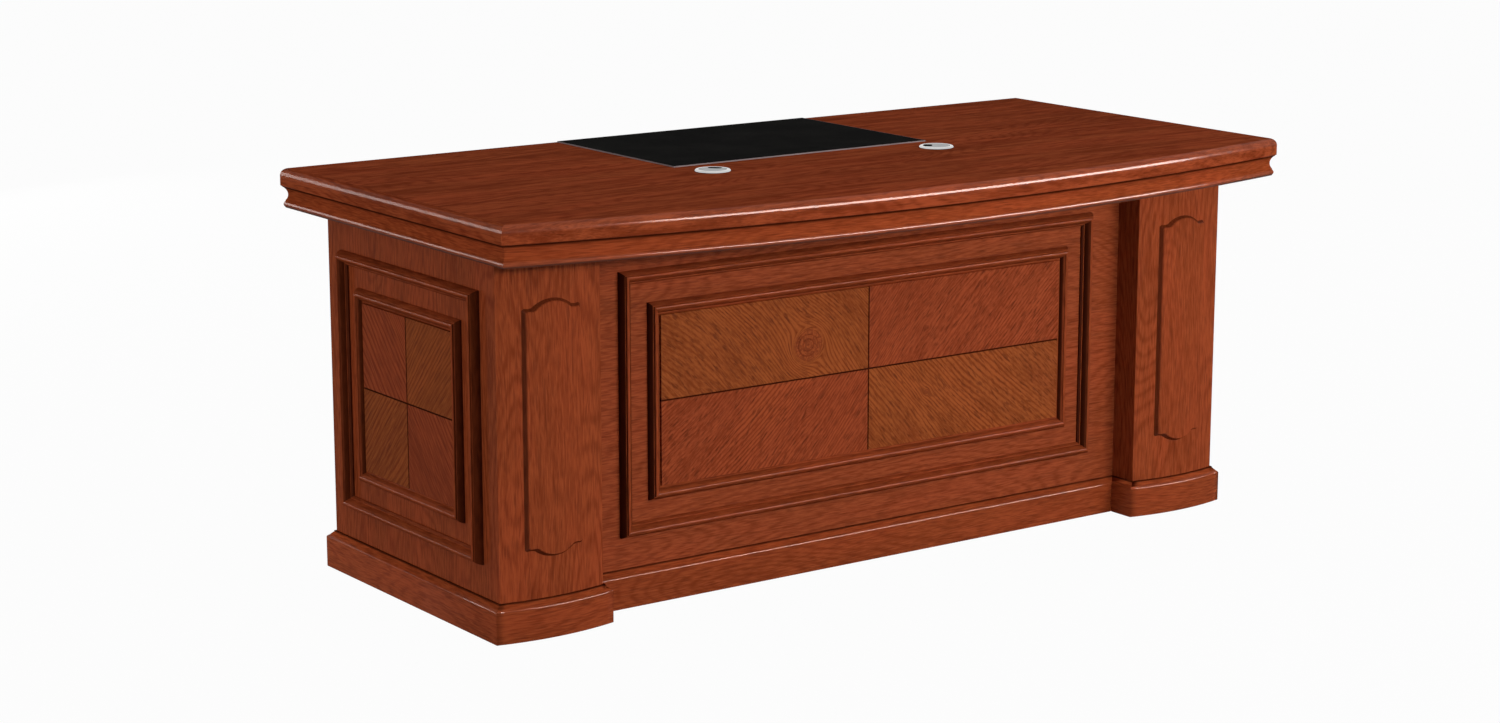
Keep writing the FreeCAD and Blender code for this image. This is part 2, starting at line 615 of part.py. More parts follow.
def drawers():
    """Pieces of the three drawers in the left pedestal and of the centre drawer."""
    left = -WALL_X
    right = -KNEE_WALL_X
    pieces = {}
    channels = []
    z = OPENING_Z + DRAWER_GAP
    for name, height in DRAWER_HEIGHTS.items():
        box_top = z + height - DRAWER_BOX_CUT / 2
        box_low = z + DRAWER_BOX_CUT / 2
        middle = (box_low + box_top) / 2
        outer = slide_pair(left, 1, middle, DRAWER_DEPTH)
        inner = slide_pair(right, -1, middle, DRAWER_DEPTH)
        channels += [outer[0], inner[0]]
        pieces[f"{name}_drawer_front"] = [fielded_front(left + FRONT_GAP, right - FRONT_GAP, z, z + height,
                                                        FIELD_MARGIN)]
        pieces[f"{name}_drawer_box"] = drawer_box(left + SLIDE_SPACE, right - SLIDE_SPACE, box_low, box_top,
                                                  DRAWER_DEPTH)
        pieces[f"{name}_drawer_slide_bars"] = [outer[1], inner[1]]
        pieces[f"{name}_drawer_pull"] = [bow_pull((left + right) / 2, z + height / 2, False)]
        z += height + DRAWER_GAP

    low = CENTRE_FRONT_TOP - CENTRE_FRONT_HEIGHT
    box_low = low + CENTRE_BOX_CUT / 2
    box_top = CENTRE_FRONT_TOP - CENTRE_BOX_CUT / 2
    middle = (box_low + box_top) / 2
    outer = slide_pair(-KNEE_X, 1, middle, CENTRE_DEPTH)
    channels += [outer[0], flipped(outer[0])]
    half = KNEE_X - FRONT_GAP
    pieces["centre_drawer_front"] = [fielded_front(-half, half, low, CENTRE_FRONT_TOP, CENTRE_FIELD_MARGIN)]
    pieces["centre_drawer_box"] = drawer_box(SLIDE_SPACE - KNEE_X, KNEE_X - SLIDE_SPACE, box_low, box_top,
                                             CENTRE_DEPTH)
    pieces["centre_drawer_slide_bars"] = [outer[1], flipped(outer[1])]
    pieces["centre_drawer_pull"] = [bow_pull(0.0, (low + CENTRE_FRONT_TOP) / 2, False)]
    pieces["slide_channels"] = channels
    return pieces


# Cupboard in the right pedestal

def hinge(z, moving):
    """One leaf of a lift-off hinge: the door's knuckle sits above the frame's, on its pin."""
    side = -1 if moving else 1
    low = z - HINGE_HEIGHT / 2
    high = z + HINGE_HEIGHT / 2
    start = z + HINGE_KNUCKLE_GAP / 2 if moving else low
    end = high if moving else z - HINGE_KNUCKLE_GAP / 2
    face = HINGE_X + side * FRONT_GAP / 2
    back = face - side * HINGE_LEAF
    clear = HINGE_Y - HINGE_KNUCKLE_RADIUS - HINGE_KNUCKLE_GAP
    leaf = block(back, face, HINGE_Y - HINGE_LEAF_REACH, clear, low, high)
    leaf = leaf.fuse(block(back, face, clear, HINGE_Y, start, end))
    leaf = leaf.fuse(disc(HINGE_X, HINGE_Y, start, end, HINGE_KNUCKLE_RADIUS))
    bore = HINGE_PIN_RADIUS + (HINGE_RUNNING_GAP if moving else HINGE_SEAT_GAP)
    return leaf.cut(disc(HINGE_X, HINGE_Y, low - 1, high + 1, bore)).removeSplitter().Solids[0]


def cupboard():
    """Door with its hinges and pull, and the shelf on its two cleats."""
    low = OPENING_Z + DRAWER_GAP
    high = OPENING_TOP_Z - DRAWER_GAP
    heights = (low + HINGE_END_INSET, high - HINGE_END_INSET)
    half = HINGE_HEIGHT / 2
    shelf = block(KNEE_WALL_X + SHELF_SIDE_GAP, WALL_X - SHELF_SIDE_GAP, MODESTY_BACK_Y,
                  FRONT_BACK_Y - SHELF_SETBACK, SHELF_Z, SHELF_Z + SHELF_BOARD)
    cleat_run = (MODESTY_BACK_Y, FRONT_BACK_Y - 2 * SHELF_SETBACK, SHELF_Z - CLEAT_HEIGHT, SHELF_Z)
    cleat = block(KNEE_WALL_X, KNEE_WALL_X + CLEAT_WIDTH, *cleat_run)
    return {
        "cupboard_door": [fielded_front(KNEE_WALL_X + FRONT_GAP, WALL_X - FRONT_GAP, low, high,
                                        FIELD_MARGIN)],
        "door_pull": [bow_pull(KNEE_WALL_X + DOOR_PULL_INSET, DOOR_PULL_Z, True)],
        "hinge_frame_leaves": [hinge(z, False) for z in heights],
        "hinge_door_leaves": [hinge(z, True) for z in heights],
        "hinge_pins": [disc(HINGE_X, HINGE_Y, z - half, z + half, HINGE_PIN_RADIUS) for z in heights],
        "cupboard_shelf": [shelf],
        "shelf_cleats": [cleat, block(WALL_X - CLEAT_WIDTH, WALL_X, *cleat_run)],
    }


def main():
    """Build every piece and write it to its file."""
    os.makedirs("parts", exist_ok=True)
    save("desktop_board", desktop_board())
    for name, lengths in edge_mouldings().items():
        save(f"edge_moulding_{name}", *lengths)
    save("desktop_battens", *battens())
    save("writing_pad", writing_pad())
    half = GROMMET_SPACING / 2
    save("grommet_sleeves", grommet_sleeve(-half), grommet_sleeve(half))
    save("left_grommet_cap", grommet_cap(-half, LEFT_NOTCH_ANGLE))
    save("right_grommet_cap", grommet_cap(half, RIGHT_NOTCH_ANGLE))

    for name, solids in pedestal().items():
        save(f"left_{name}", *solids)
        save(f"right_{name}", *[flipped(solid) for solid in solids])
    for group in (modesty(), drawers(), cupboard()):
        for name, solids in group.items():
            save(name, *solids)


main()
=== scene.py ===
"""Executive desk: veneers, leather pad, small metalwork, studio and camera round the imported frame."""
import json
import logging
import math
from dataclasses import dataclass, replace
from enum import Enum
from typing import ClassVar, Iterable, Union

import bmesh
import bpy
from mathutils import Euler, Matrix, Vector, noise

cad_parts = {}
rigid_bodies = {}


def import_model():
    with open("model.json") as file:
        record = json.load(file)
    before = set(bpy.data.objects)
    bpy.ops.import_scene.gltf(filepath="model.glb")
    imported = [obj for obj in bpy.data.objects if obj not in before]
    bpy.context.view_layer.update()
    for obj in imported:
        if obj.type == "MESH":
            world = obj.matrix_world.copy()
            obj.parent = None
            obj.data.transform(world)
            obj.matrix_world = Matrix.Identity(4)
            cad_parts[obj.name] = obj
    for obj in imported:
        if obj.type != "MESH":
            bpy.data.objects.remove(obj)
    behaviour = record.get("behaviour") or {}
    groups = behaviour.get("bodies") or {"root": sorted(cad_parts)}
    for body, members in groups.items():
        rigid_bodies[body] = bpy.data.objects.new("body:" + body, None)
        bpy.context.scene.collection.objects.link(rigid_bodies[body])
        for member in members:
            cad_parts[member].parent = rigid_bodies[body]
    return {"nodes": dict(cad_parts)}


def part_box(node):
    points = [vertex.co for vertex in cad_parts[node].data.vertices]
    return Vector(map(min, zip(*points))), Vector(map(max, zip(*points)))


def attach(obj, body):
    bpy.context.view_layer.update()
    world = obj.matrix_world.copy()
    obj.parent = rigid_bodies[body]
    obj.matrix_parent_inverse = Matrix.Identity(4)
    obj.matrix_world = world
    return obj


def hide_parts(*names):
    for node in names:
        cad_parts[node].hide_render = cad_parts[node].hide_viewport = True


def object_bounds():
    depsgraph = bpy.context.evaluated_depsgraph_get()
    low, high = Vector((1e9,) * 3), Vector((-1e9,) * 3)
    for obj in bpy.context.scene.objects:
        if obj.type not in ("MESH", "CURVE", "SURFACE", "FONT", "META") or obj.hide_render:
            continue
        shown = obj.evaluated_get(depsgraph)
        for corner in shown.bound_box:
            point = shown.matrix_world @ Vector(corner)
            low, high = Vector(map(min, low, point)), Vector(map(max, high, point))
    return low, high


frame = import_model()
CAD_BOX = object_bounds()

LOG = logging.getLogger("desk")
MM = 0.001

Colour = tuple[float, float, float]
Place = tuple[float, float, float]
Point = tuple[float, float]
Screw = tuple[Vector, Vector]
Number = Union["Value", float]

SIDES = ("left", "right")
DRAWERS = ("top", "middle", "bottom", "centre")
WHITE: Colour = (1.0, 1.0, 1.0)

# Places on the desk that the finishes follow.
TOP_BOW_RADIUS = 4100 * MM
EDGE_FOOT = 690 * MM
PILASTER_BOW_MIDDLE = (743 * MM, 231 * MM)
PILASTER_BOW_RADIUS = 483 * MM
GROMMET_PLACE = (266 * MM, -55 * MM)

# Lacquer: its mirror layer, and the slopes between which an edge is polished.
LACQUER_SPECULAR = 0.8
LACQUER_TINT: Colour = (1.0, 0.82, 0.74)
EDGE_GLOSS = 0.13
OFF_UPRIGHT = (0.02, 0.08)
OFF_LEVEL = (0.93, 0.985)
END_SHIFT = 0.28
END_DULL = 0.7

# Fibres: the desktop's end band, and what bands, strips and boards do to a piece's seed and depth.
DESKTOP_BOW = 1.0 / (2 * TOP_BOW_RADIUS)
END_BAND = 14 * MM
END_BLEND = (END_BAND * 0.9, END_BAND * 1.3)
END_SEED = 5.0
STRIP_SEED = 3.0
BOARD_SEED = 4.3
CORNER_DEPTH = 0.5
STRIP_DEPTH = 0.4
BOARD_DEPTH = 0.2

# Quarter boards: lean of the fibres, grooves between the boards, and the knot.
QUARTER_LEAN = math.radians(50)
QUARTER_FAN = 0.26
GROOVE_HALF = 1.8 * MM
GROOVE_FLOOR = GROOVE_HALF * 0.7
GROOVE_STAIN = 0.92
GROOVE_MATT = 0.3
KNOT_SIZE = 32 * MM
KNOT_TRACE = 0.2
KNOT_CORE = KNOT_SIZE * KNOT_SIZE * 0.02
KNOT_EDGE = (0.75, 1.2)
KNOT_RINGS = 0.7
KNOT_RED = 0.6

# Wood: weights and levels of the layers that make its colour and relief.
RIPPLE_REACH = 4 * MM
LINE_SHARPNESS = 2.6
LINE_MEAN = 0.35
LINE_PATCHES = (0.35, 0.65, 0.4, 1.6)
FIBRE_WEIGHT = 1.3
CLOUD_WEIGHT = 0.45
FINE_WEIGHT = 0.35
TONE_RANGE = (0.10, 0.90)
GOLD_WEIGHT = 0.75
GOLD_LEAST = 0.12
GOLD_CLOUD = 1.3
RED_PATCHES = (0.35, 0.70, 0.0, 0.5)
PORE_EDGE = (0.55, 0.66)
SPECKLE_EDGE = (0.42, 0.58)
PORE_ROUGHNESS = 0.08
FIBRE_RISE = 0.5
RELIEF_DEPTH = 0.1 * MM
DARK_WOOD: Colour = (0.72, 0.64, 0.60)
LIGHT_WOOD: Colour = (1.26, 1.36, 1.40)
RED_WOOD: Colour = (1.06, 0.88, 0.92)
# Near-black of the painted shade on mouldings, cartouches and under the desktop's overhang; also of the dark
# stain in plinth joints and board grooves.
SHADE_AND_JOINT_DARK: Colour = (0.030, 0.006, 0.002)
PORE_BROWN: Colour = (0.070, 0.013, 0.005)

# Metal and leather.
WORN_PATCHES = (0.35, 0.75)
THROAT_BLACK: Colour = (0.006, 0.006, 0.006)
CREASE_BLACK: Colour = (0.004, 0.004, 0.004)

# Meshes: edges that are rounded, faces that count as one flat, points that count as one.
SHARP_ANGLE = math.radians(32)
ROUNDING_FACES = 3
FLAT_ANGLE = math.radians(0.5)
MERGE_GAP = 1e-6


def rgba(colour: Colour) -> tuple[float, float, float, float]:
    """The colour with full opacity."""
    return (*colour, 1.0)


class Value:
    """One output socket of a node tree; arithmetic on it adds Math nodes."""

    def __init__(self, nodes: "Nodes", socket: bpy.types.NodeSocket) -> None:
        """Keep the tree and the socket."""
        self.nodes = nodes
        self.socket = socket

    def output(self, name: str) -> "Value":
        """Another output of the same node."""
        return Value(self.nodes, self.socket.node.outputs[name])

    def maths(self, operation: str, *others: Number) -> "Value":
        """A Math node's operation on this value and up to two more."""
        return self.nodes.maths(operation, self, *others)

    def __add__(self, other: Number) -> "Value":
        """Sum."""
        return self.maths("ADD", other)

    __radd__ = __add__

    def __sub__(self, other: Number) -> "Value":
        """Difference."""
        return self.maths("SUBTRACT", other)

    def __rsub__(self, other: Number) -> "Value":
        """Difference, from the right."""
        return self.nodes.maths("SUBTRACT", other, self)

    def __mul__(self, other: Number) -> "Value":
        """Product."""
        return self.maths("MULTIPLY", other)

    __rmul__ = __mul__

    def __truediv__(self, other: Number) -> "Value":
        """Quotient."""
        return self.maths("DIVIDE", other)

    def __pow__(self, other: Number) -> "Value":
        """Power."""
        return self.maths("POWER", other)

    def __abs__(self) -> "Value":
        """Size without sign."""
        return self.maths("ABSOLUTE")

    def __lt__(self, other: Number) -> "Value":
        """1 where this is the smaller, else 0."""
        return self.maths("LESS_THAN", other)

    def __gt__(self, other: Number) -> "Value":
        """1 where this is the larger, else 0."""
        return self.maths("GREATER_THAN", other)

    def swing(self) -> "Value":
        """How far a noise is from its middle."""
        return self - 0.5

    def ramp(self, low: float, high: float, start: float = 0.0, end: float = 1.0) -> "Value":
        """Smooth step between two levels.

        Args:
            low: Level at which the result is start.
            high: Level at which the result is end.
            start: Result at and below low.
            end: Result at and above high.

        Returns:
            The stepped value.
        """
        return self.nodes.node("ShaderNodeMapRange", {"interpolation_type": "SMOOTHSTEP"},
                               {"Value": self, "From Min": low, "From Max": high,
                                "To Min": start, "To Max": end})


class Nodes:
    """A node tree, written as expressions."""

    def __init__(self, tree: bpy.types.NodeTree) -> None:
        """Empty the tree and take it over."""
        self.tree = tree
        tree.nodes.clear()

    def node(self, kind: str, settings: dict | None = None, sockets: dict | None = None,
             out: Union[str, int] = 0) -> Value | None:
        """Add a node.

        Args:
            kind: The node's type name.
            settings: Its settings, set first.
            sockets: Values or links of its inputs, by name or place; a list is linked in turn.
            out: The output to return.

        Returns:
            The chosen output, or None for a node without outputs.
        """
        made = self.tree.nodes.new(kind)
        for key, value in (settings or {}).items():
            setattr(made, key, value)
        for key, value in (sockets or {}).items():
            links = value if isinstance(value, list) else [value]
            if not isinstance(links[0], Value):
                made.inputs[key].default_value = value
                continue
            for link in links:
                self.tree.links.new(link.socket, made.inputs[key])
        return Value(self, made.outputs[out]) if made.outputs else None

    def maths(self, operation: str, *values: Number) -> Value:
        """A Math node on values and numbers."""
        return self.node("ShaderNodeMath", {"operation": operation}, dict(enumerate(values)))

    def vector(self, x: Number, y: Number, z: Number) -> Value:
        """Three values as one vector."""
        return self.node("ShaderNodeCombineXYZ", sockets={"X": x, "Y": y, "Z": z})


class Shader(Nodes):
    """Node tree of a material or of the world."""

    NOISE_ROUGHNESS = 0.55
    # Places of the Mix node's colour sockets, whose names others share.
    MIX_SHARE, MIX_FIRST, MIX_SECOND, MIX_RESULT = 0, 6, 7, 2

    def __init__(self, owner: Union[bpy.types.Material, bpy.types.World]) -> None:
        """Empty the owner's node tree and take it over."""
        owner.use_nodes = True
        super().__init__(owner.node_tree)

    def mix(self, share: Number, first: object, second: object, blend: str = "MIX") -> Value:
        """Blend two colours.

        Args:
            share: How much of the second colour.
            first: Colour tuple or colour value.
            second: Colour tuple or colour value.
            blend: The Mix node's blend type.

        Returns:
            The blended colour.
        """
        pair = [rgba(c) if isinstance(c, tuple) else c for c in (first, second)]
        sockets = {self.MIX_SHARE: share, self.MIX_FIRST: pair[0], self.MIX_SECOND: pair[1]}
        return self.node("ShaderNodeMix", {"data_type": "RGBA", "blend_type": blend}, sockets,
                         self.MIX_RESULT)

    def parts(self, output: str) -> tuple[Value, Value, Value]:
        """X, Y and Z of an output of the Texture Coordinate node.

        Args:
            output: The output's name.

        Returns:
            The three parts.
        """
        whole = self.node("ShaderNodeTexCoord", out=output)
        split = self.node("ShaderNodeSeparateXYZ", sockets={"Vector": whole})
        return split, split.output("Y"), split.output("Z")

    def place(self) -> tuple[Value, Value, Value]:
        """X, Y and Z of the shaded point in the desk's frame."""
        return self.parts("Object")

    def facing(self) -> tuple[Value, Value, Value]:
        """X, Y and Z of the surface's direction in the desk's frame."""
        return self.parts("Normal")

    def off_line(self, middle: Point) -> Value:
        """Distance of the shaded point from an upright line that both halves of the desk have.

        Args:
            middle: X and Y of the line in the half with positive X.

        Returns:
            The distance.
        """
        x, y, _ = self.place()
        beside = abs(x) - middle[0]
        ahead = y - middle[1]
        return (beside * beside + ahead * ahead) ** 0.5

    def seen(self) -> Value:
        """1 for what the eye sees, also in mirrors and through glass, else 0."""
        path = self.node("ShaderNodeLightPath", out="Is Camera Ray")
        mirrored = path.maths("MAXIMUM", path.output("Is Glossy Ray"))
        return mirrored.maths("MAXIMUM", path.output("Is Transmission Ray"))

    def noise(self, where: Value, stretch: Place, seed: Number, detail: float = 2.0) -> Value:
        """Noise from 0 to 1 in stretched coordinates.

        Args:
            where: The coordinates.
            stretch: Features per metre along each coordinate.
            seed: Which noise.
            detail: Octaves.

        Returns:
            The noise value.
        """
        scaled = self.node("ShaderNodeVectorMath", {"operation": "MULTIPLY"}, {0: where, 1: stretch})
        return self.node("ShaderNodeTexNoise", {"noise_dimensions": "4D"},
                         {"Vector": scaled, "W": seed, "Scale": 1.0, "Detail": detail,
                          "Roughness": self.NOISE_ROUGHNESS})

    def finish(self, surface: dict, bump: tuple[Value, float, float] | None = None,
               matt: Number | None = None) -> None:
        """End the tree in a Principled shader.

        Args:
            surface: Values of the shader's sockets.
            bump: Height, strength and distance in metres, if the surface has relief.
            matt: Share of the surface that has no mirror layer.
        """
        sockets = dict(surface)
        if bump:
            height, strength, distance = bump
            sockets["Normal"] = self.node("ShaderNodeBump", sockets={
                "Height": height, "Strength": strength, "Distance": distance})
        shaded = self.node("ShaderNodeBsdfPrincipled", sockets=sockets)
        if matt is not None:
            plain = self.node("ShaderNodeBsdfPrincipled", sockets={**sockets, "Specular IOR Level": 0.0})
            shaded = self.node("ShaderNodeMixShader", sockets={0: matt, 1: shaded, 2: plain})
        self.node("ShaderNodeOutputMaterial", sockets={"Surface": shaded})


class Grain(Enum):
    """Ways in which the fibres run over a piece."""

    ALONG_X = "along the desk's length"
    ALONG_Y = "along the desk's depth"
    UPRIGHT = "upright"
    ROUND_CORNERS = "along each run of a band that turns corners"
    DESKTOP = "along the length, and along the ends on the end edges"
    FRONT_FRAME = "along each strip of a frame that faces the visitor"
    SIDE_FRAME = "along each strip of a frame on a pedestal's side"
    FRONT_QUARTERS = "towards the middle of the four front boards"
    SIDE_QUARTERS = "towards the middle of the four side boards"


@dataclass(frozen=True)
class FramePlace:
    """Middle and reach of a panelled field, for grain that turns at its mitres."""

    middle: Place
    reach: Place

    @classmethod
    def of(cls, node: str) -> "FramePlace":
        """Read a node's middle and half sizes from the frame."""
        low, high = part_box(node)
        return cls(tuple((low + high) / 2), tuple((high - low) / 2))


class ShadeAndJoint:
    """Darkening painted on a piece: painted shade in its recesses and under overhangs, and the dark stain of
    joints.
    """

    def share(self, shader: Shader) -> Value:
        """Share of the darkening at the shaded point, from 0 to 1."""
        raise NotImplementedError

    def matt(self, shader: Shader) -> Value:
        """Share of the surface that is left unpolished, from 0 to 1."""
        return self.share(shader)


@dataclass(frozen=True)
class SteepSideShade(ShadeAndJoint):
    """Painted shade on the steep sides of a moulding that stands out from a panel, weaker where those sides
    face up or down, as on level runs.

    Attributes:
        axis: Axis that the moulding stands out along, 0 or 1.
        strength: The painted shade's largest share.
        steep: Part of the surface's direction along that axis below which the painted shade is full.
        flat: Part above which there is none.
        fade: How much weaker it is on level runs.
    """

    axis: int
    strength: float
    steep: float = 0.62
    flat: float = 0.80
    fade: float = 0.85

    def share(self, shader: Shader) -> Value:
        """Painted shade by the surface's slope."""
        facing = shader.facing()
        sides = abs(facing[self.axis]).ramp(self.steep, self.flat, self.strength, 0.0)
        return sides * (1.0 - abs(facing[2]) * self.fade)

    def matt(self, shader: Shader) -> Value:
        """Steep sides are unpolished all round."""
        return abs(shader.facing()[self.axis]).ramp(self.steep, self.flat, 1.0, 0.0)


@dataclass(frozen=True)
class BowFootShade(ShadeAndJoint):
    """Painted shade on the sides of a piece that is raised from a bowed face, near their foot.

    Attributes:
        middle: X and Y of the bow's centre, for the half with positive X.
        radius: The bow's radius.
        full: Height above the bow up to which the painted shade is full.
        clear: Height at which it ends.
        strength: The painted shade's largest share.
    """

    middle: Point
    radius: float
    full: float = 5.5 * MM
    clear: float = 7.4 * MM
    strength: float = 0.62

    def share(self, shader: Shader) -> Value:
        """Painted shade by height above the bow."""
        height = shader.off_line(self.middle) - self.radius
        return height.ramp(self.full, self.clear, self.strength, 0.0)


@dataclass(frozen=True)
class OverhangShade(ShadeAndJoint):
    """Painted shadow under an overhang and painted shade on an underside.

    Attributes:
        top: Height of the overhang.
        reach: How far down the painted shadow runs from there.
        foot: Height below which the underside gets painted shade.
        full: Share of the reach that is left where the painted shadow is full.
        above: The painted shadow's largest share.
        under: The lower painted shade's largest share.
        soft: Height over which the lower painted shade ends.
        bead: Heights above the foot between which the polish ends.
    """

    top: float
    reach: float
    foot: float
    full: float = 0.35
    above: float = 0.9
    under: float = 0.7
    soft: float = 2.5 * MM
    bead: Point = (4 * MM, 6 * MM)

    def share(self, shader: Shader) -> Value:
        """Painted shadow and shade by height above the floor."""
        z = shader.place()[2]
        above = z.ramp(self.top - self.reach, self.top - self.reach * self.full, 0.0, self.above)
        below = z.ramp(self.foot - self.soft, self.foot, self.under, 0.0)
        return above.maths("MAXIMUM", below)

    def matt(self, shader: Shader) -> Value:
        """The hollow above the bead is unpolished."""
        return shader.place()[2].ramp(*(self.foot + height for height in self.bead))


@dataclass(frozen=True)
class PlinthGlaze(ShadeAndJoint):
    """Stain where a plinth meets its panel; only the plinth's outer edge is polished.

    Attributes:
        edge: Height of the outer edge's upper side.
        joint: Height from which the joint is stained.
        strength: The stain's largest share.
        soft: Height over which the stain ends.
        blend: Half the height over which the polish ends.
    """

    edge: float = 62.4 * MM
    joint: float = 69.0 * MM
    strength: float = 0.75
    soft: float = 0.5 * MM
    blend: float = 0.4 * MM

    def share(self, shader: Shader) -> Value:
        """Stain by height above the floor."""
        return shader.place()[2].ramp(self.joint - self.soft, self.joint, 0.0, self.strength)

    def matt(self, shader: Shader) -> Value:
        """The slope above the outer edge is unpolished."""
        return shader.place()[2].ramp(self.edge - self.blend, self.edge + self.blend)


@dataclass(frozen=True)
class Layer:
    """One layer of the wood's figure: noise that is stretched along the fibres.

    Attributes:
        along: Features per metre along the fibres.
        across: Features per metre across them.
        shift: What it adds to the piece's seed.
        detail: Octaves.
    """

    along: float
    across: float
    shift: float = 0.0
    detail: float = 2.0

    def on(self, shader: Shader, where: Value, seed: Number) -> Value:
        """The layer's noise, from 0 to 1, at coordinates along and across the fibres."""
        stretch = (self.along, self.across, self.across)
        return shader.noise(where, stretch, seed + self.shift, self.detail)


SWAY = Layer(2.4, 8.0, detail=1.0)
RIPPLE = Layer(16.0, 34.0, 0.9, 1.0)
RINGS = Layer(1.3, 6.0, 1.7, 1.0)
CLOUD = Layer(3.0, 13.0, 3.1)
FIBRE = Layer(34.0, 430.0, 4.9)
PORES = Layer(24.0, 330.0, 6.3, 1.0)
FINE = Layer(70.0, 1500.0, 8.7, 1.0)
BROAD = Layer(4.5, 52.0, 10.1)
SPECKLE = Layer(300.0, 300.0)


@dataclass(frozen=True)
class Fibres:
    """Coordinates of the fibres at the shaded point.

    Attributes:
        along: Place along the fibres.
        across: Place across them.
        depth: Place through them.
        seed: Which piece of the log.
        golden: Share of the second base colour.
        knot: Share of a knot's heart.
    """

    along: Value
    across: Value
    depth: Value
    seed: Number
    golden: Number = 0.0
    knot: Number = 0.0


def leaning(beside: Number, above: Number) -> tuple[Number, Number]:
    """Places along and across the leaning fibres of a quarter board."""
    cos, sin = math.cos(QUARTER_LEAN), math.sin(QUARTER_LEAN)
    return beside * cos + above * sin, above * cos - beside * sin


@dataclass(frozen=True)
class Veneer:
    """Lacquered wood with stretched fibres, pores and contour figure.

    Attributes:
        name: The material's name.
        grain: How the fibres run.
        tint: Base colour.
        gold: Second base colour of alternate quarter boards.
        seed: Which piece of the log.
        figure: Strength of the contour lines.
        lines: Number of contour lines.
        rows: Contour lines for each metre across the fibres, besides those.
        sway: How far the fibres swing from straight, in metres.
        pores: Darkness of the pores.
        broad: Strength of broad streaks.
        relief: Strength of the pores' relief.
        field: Middle and reach of a panelled field, where the grain turns there.
        shade_and_joint: Darkening: painted shade in a moulding's recesses and under overhangs, and a plinth
            joint's dark stain.
        gloss: Roughness of the lacquer.
        polish: Share of the mirror layer that is left on flats.
        shine: Share of the mirror layer on edges.
        knot: Place of the knot that the fibres flow round, as shares of the field's half width and
            half height; the upper golden board has all of it, the others a trace.
    """

    name: str
    grain: Grain
    tint: Colour = (0.240, 0.046, 0.0135)
    gold: Colour | None = None
    seed: float = 0.0
    figure: float = 0.20
    lines: float = 40.0
    rows: float = 0.0
    sway: float = 0.03
    pores: float = 0.34
    broad: float = 0.0
    relief: float = 0.03
    field: FramePlace | None = None
    shade_and_joint: ShadeAndJoint | None = None
    gloss: float = 0.14
    polish: float = 0.04
    shine: float = 0.22
    knot: Point | None = None

    @property
    def side(self) -> int:
        """Axis along a panelled field: 0 on the front, 1 on a pedestal's side."""
        return 0 if self.grain in (Grain.FRONT_FRAME, Grain.FRONT_QUARTERS) else 1

    def fibres(self, shader: Shader) -> Fibres:
        """How the fibres run at the shaded point.

        Args:
            shader: The finish's node tree.

        Returns:
            The fibres' coordinates.
        """
        x, y, z = shader.place()
        straight = {Grain.ALONG_X: (x, y, z), Grain.ALONG_Y: (y, x, z), Grain.UPRIGHT: (z, x, y)}
        if self.grain in straight:
            return Fibres(*straight[self.grain], self.seed)
        if self.grain is Grain.ROUND_CORNERS:
            return Fibres(x + y, z, z * CORNER_DEPTH, self.seed)
        if self.grain is Grain.DESKTOP:
            return self._desktop(x, y, z)
        run = (x, y)[self.side]
        if self.grain in (Grain.FRONT_FRAME, Grain.SIDE_FRAME):
            return self._frame(run, z)
        return self._quarters(run, x, z)

    @staticmethod
    def _insets(x: Value, y: Value) -> tuple[Value, Value]:
        """Distances from the desktop's nearer end and from its bowed front."""
        low, high = CAD_BOX
        return high.x - abs(x), y - (low.y + x * x * DESKTOP_BOW)

    def _desktop(self, x: Value, y: Value, z: Value) -> Fibres:
        """Fibres along X, but along Y on the rounded ends up to the mitre.

        Args:
            x: Place along the length.
            y: Place along the depth.
            z: Height.

        Returns:
            The fibres' coordinates.
        """
        from_end, from_front = self._insets(x, y)
        end = (from_end < END_BAND) * (from_end < from_front) * (from_end < CAD_BOX[1].y - y)
        along = x + (y - x) * end
        across = y + (x - y) * end
        return Fibres(along, across, z, self.seed + END_SEED * end)

    def _frame(self, run: Value, z: Value) -> Fibres:
        """Fibres along each mitred strip of a frame.

        Args:
            run: Place along the field.
            z: Height.

        Returns:
            The fibres' coordinates.
        """
        across_run = abs(run - self.field.middle[self.side])
        across_rise = abs(z - self.field.middle[2])
        level = (self.field.reach[2] - across_rise) < (self.field.reach[self.side] - across_run)
        along = z + (run - z) * level
        across = run + (z - run) * level
        return Fibres(along, across, across * STRIP_DEPTH, self.seed + STRIP_SEED * level)

    def _quarters(self, run: Value, x: Value, z: Value) -> Fibres:
        """Fibres that lean towards the middle in each of four boards, alternately gold and red.

        Args:
            run: Place along the field.
            x: Place along the desk's length.
            z: Height.

        Returns:
            The fibres' coordinates.
        """
        beside = run - self.field.middle[self.side]
        above = z - self.field.middle[2]
        along, across = leaning(abs(beside), abs(above))
        across = across + beside * beside * QUARTER_FAN
        board = (beside > 0.0) * 2.0 + (above > 0.0)
        golden = (beside * above) < 0.0
        eye = 0.0
        if self.knot:
            knot_along, knot_across = leaning(self.knot[0] * self.field.reach[self.side],
                                              self.knot[1] * self.field.reach[2])
            ahead = along - knot_along
            aside = across - knot_across
            size = KNOT_SIZE * (KNOT_TRACE + (1.0 - KNOT_TRACE) * (above > 0.0) * golden)
            square = ahead * ahead + aside * aside + KNOT_CORE
            away = square ** 0.5
            flow = aside * (1.0 - size * size / square)
            eye = (away / size).ramp(*KNOT_EDGE, 1.0, 0.0)
            across = flow + (away * KNOT_RINGS - flow) * eye
            golden = golden * (1.0 - eye * KNOT_RED)
        return Fibres(along, across, x * BOARD_DEPTH, self.seed + board * BOARD_SEED, golden, eye)

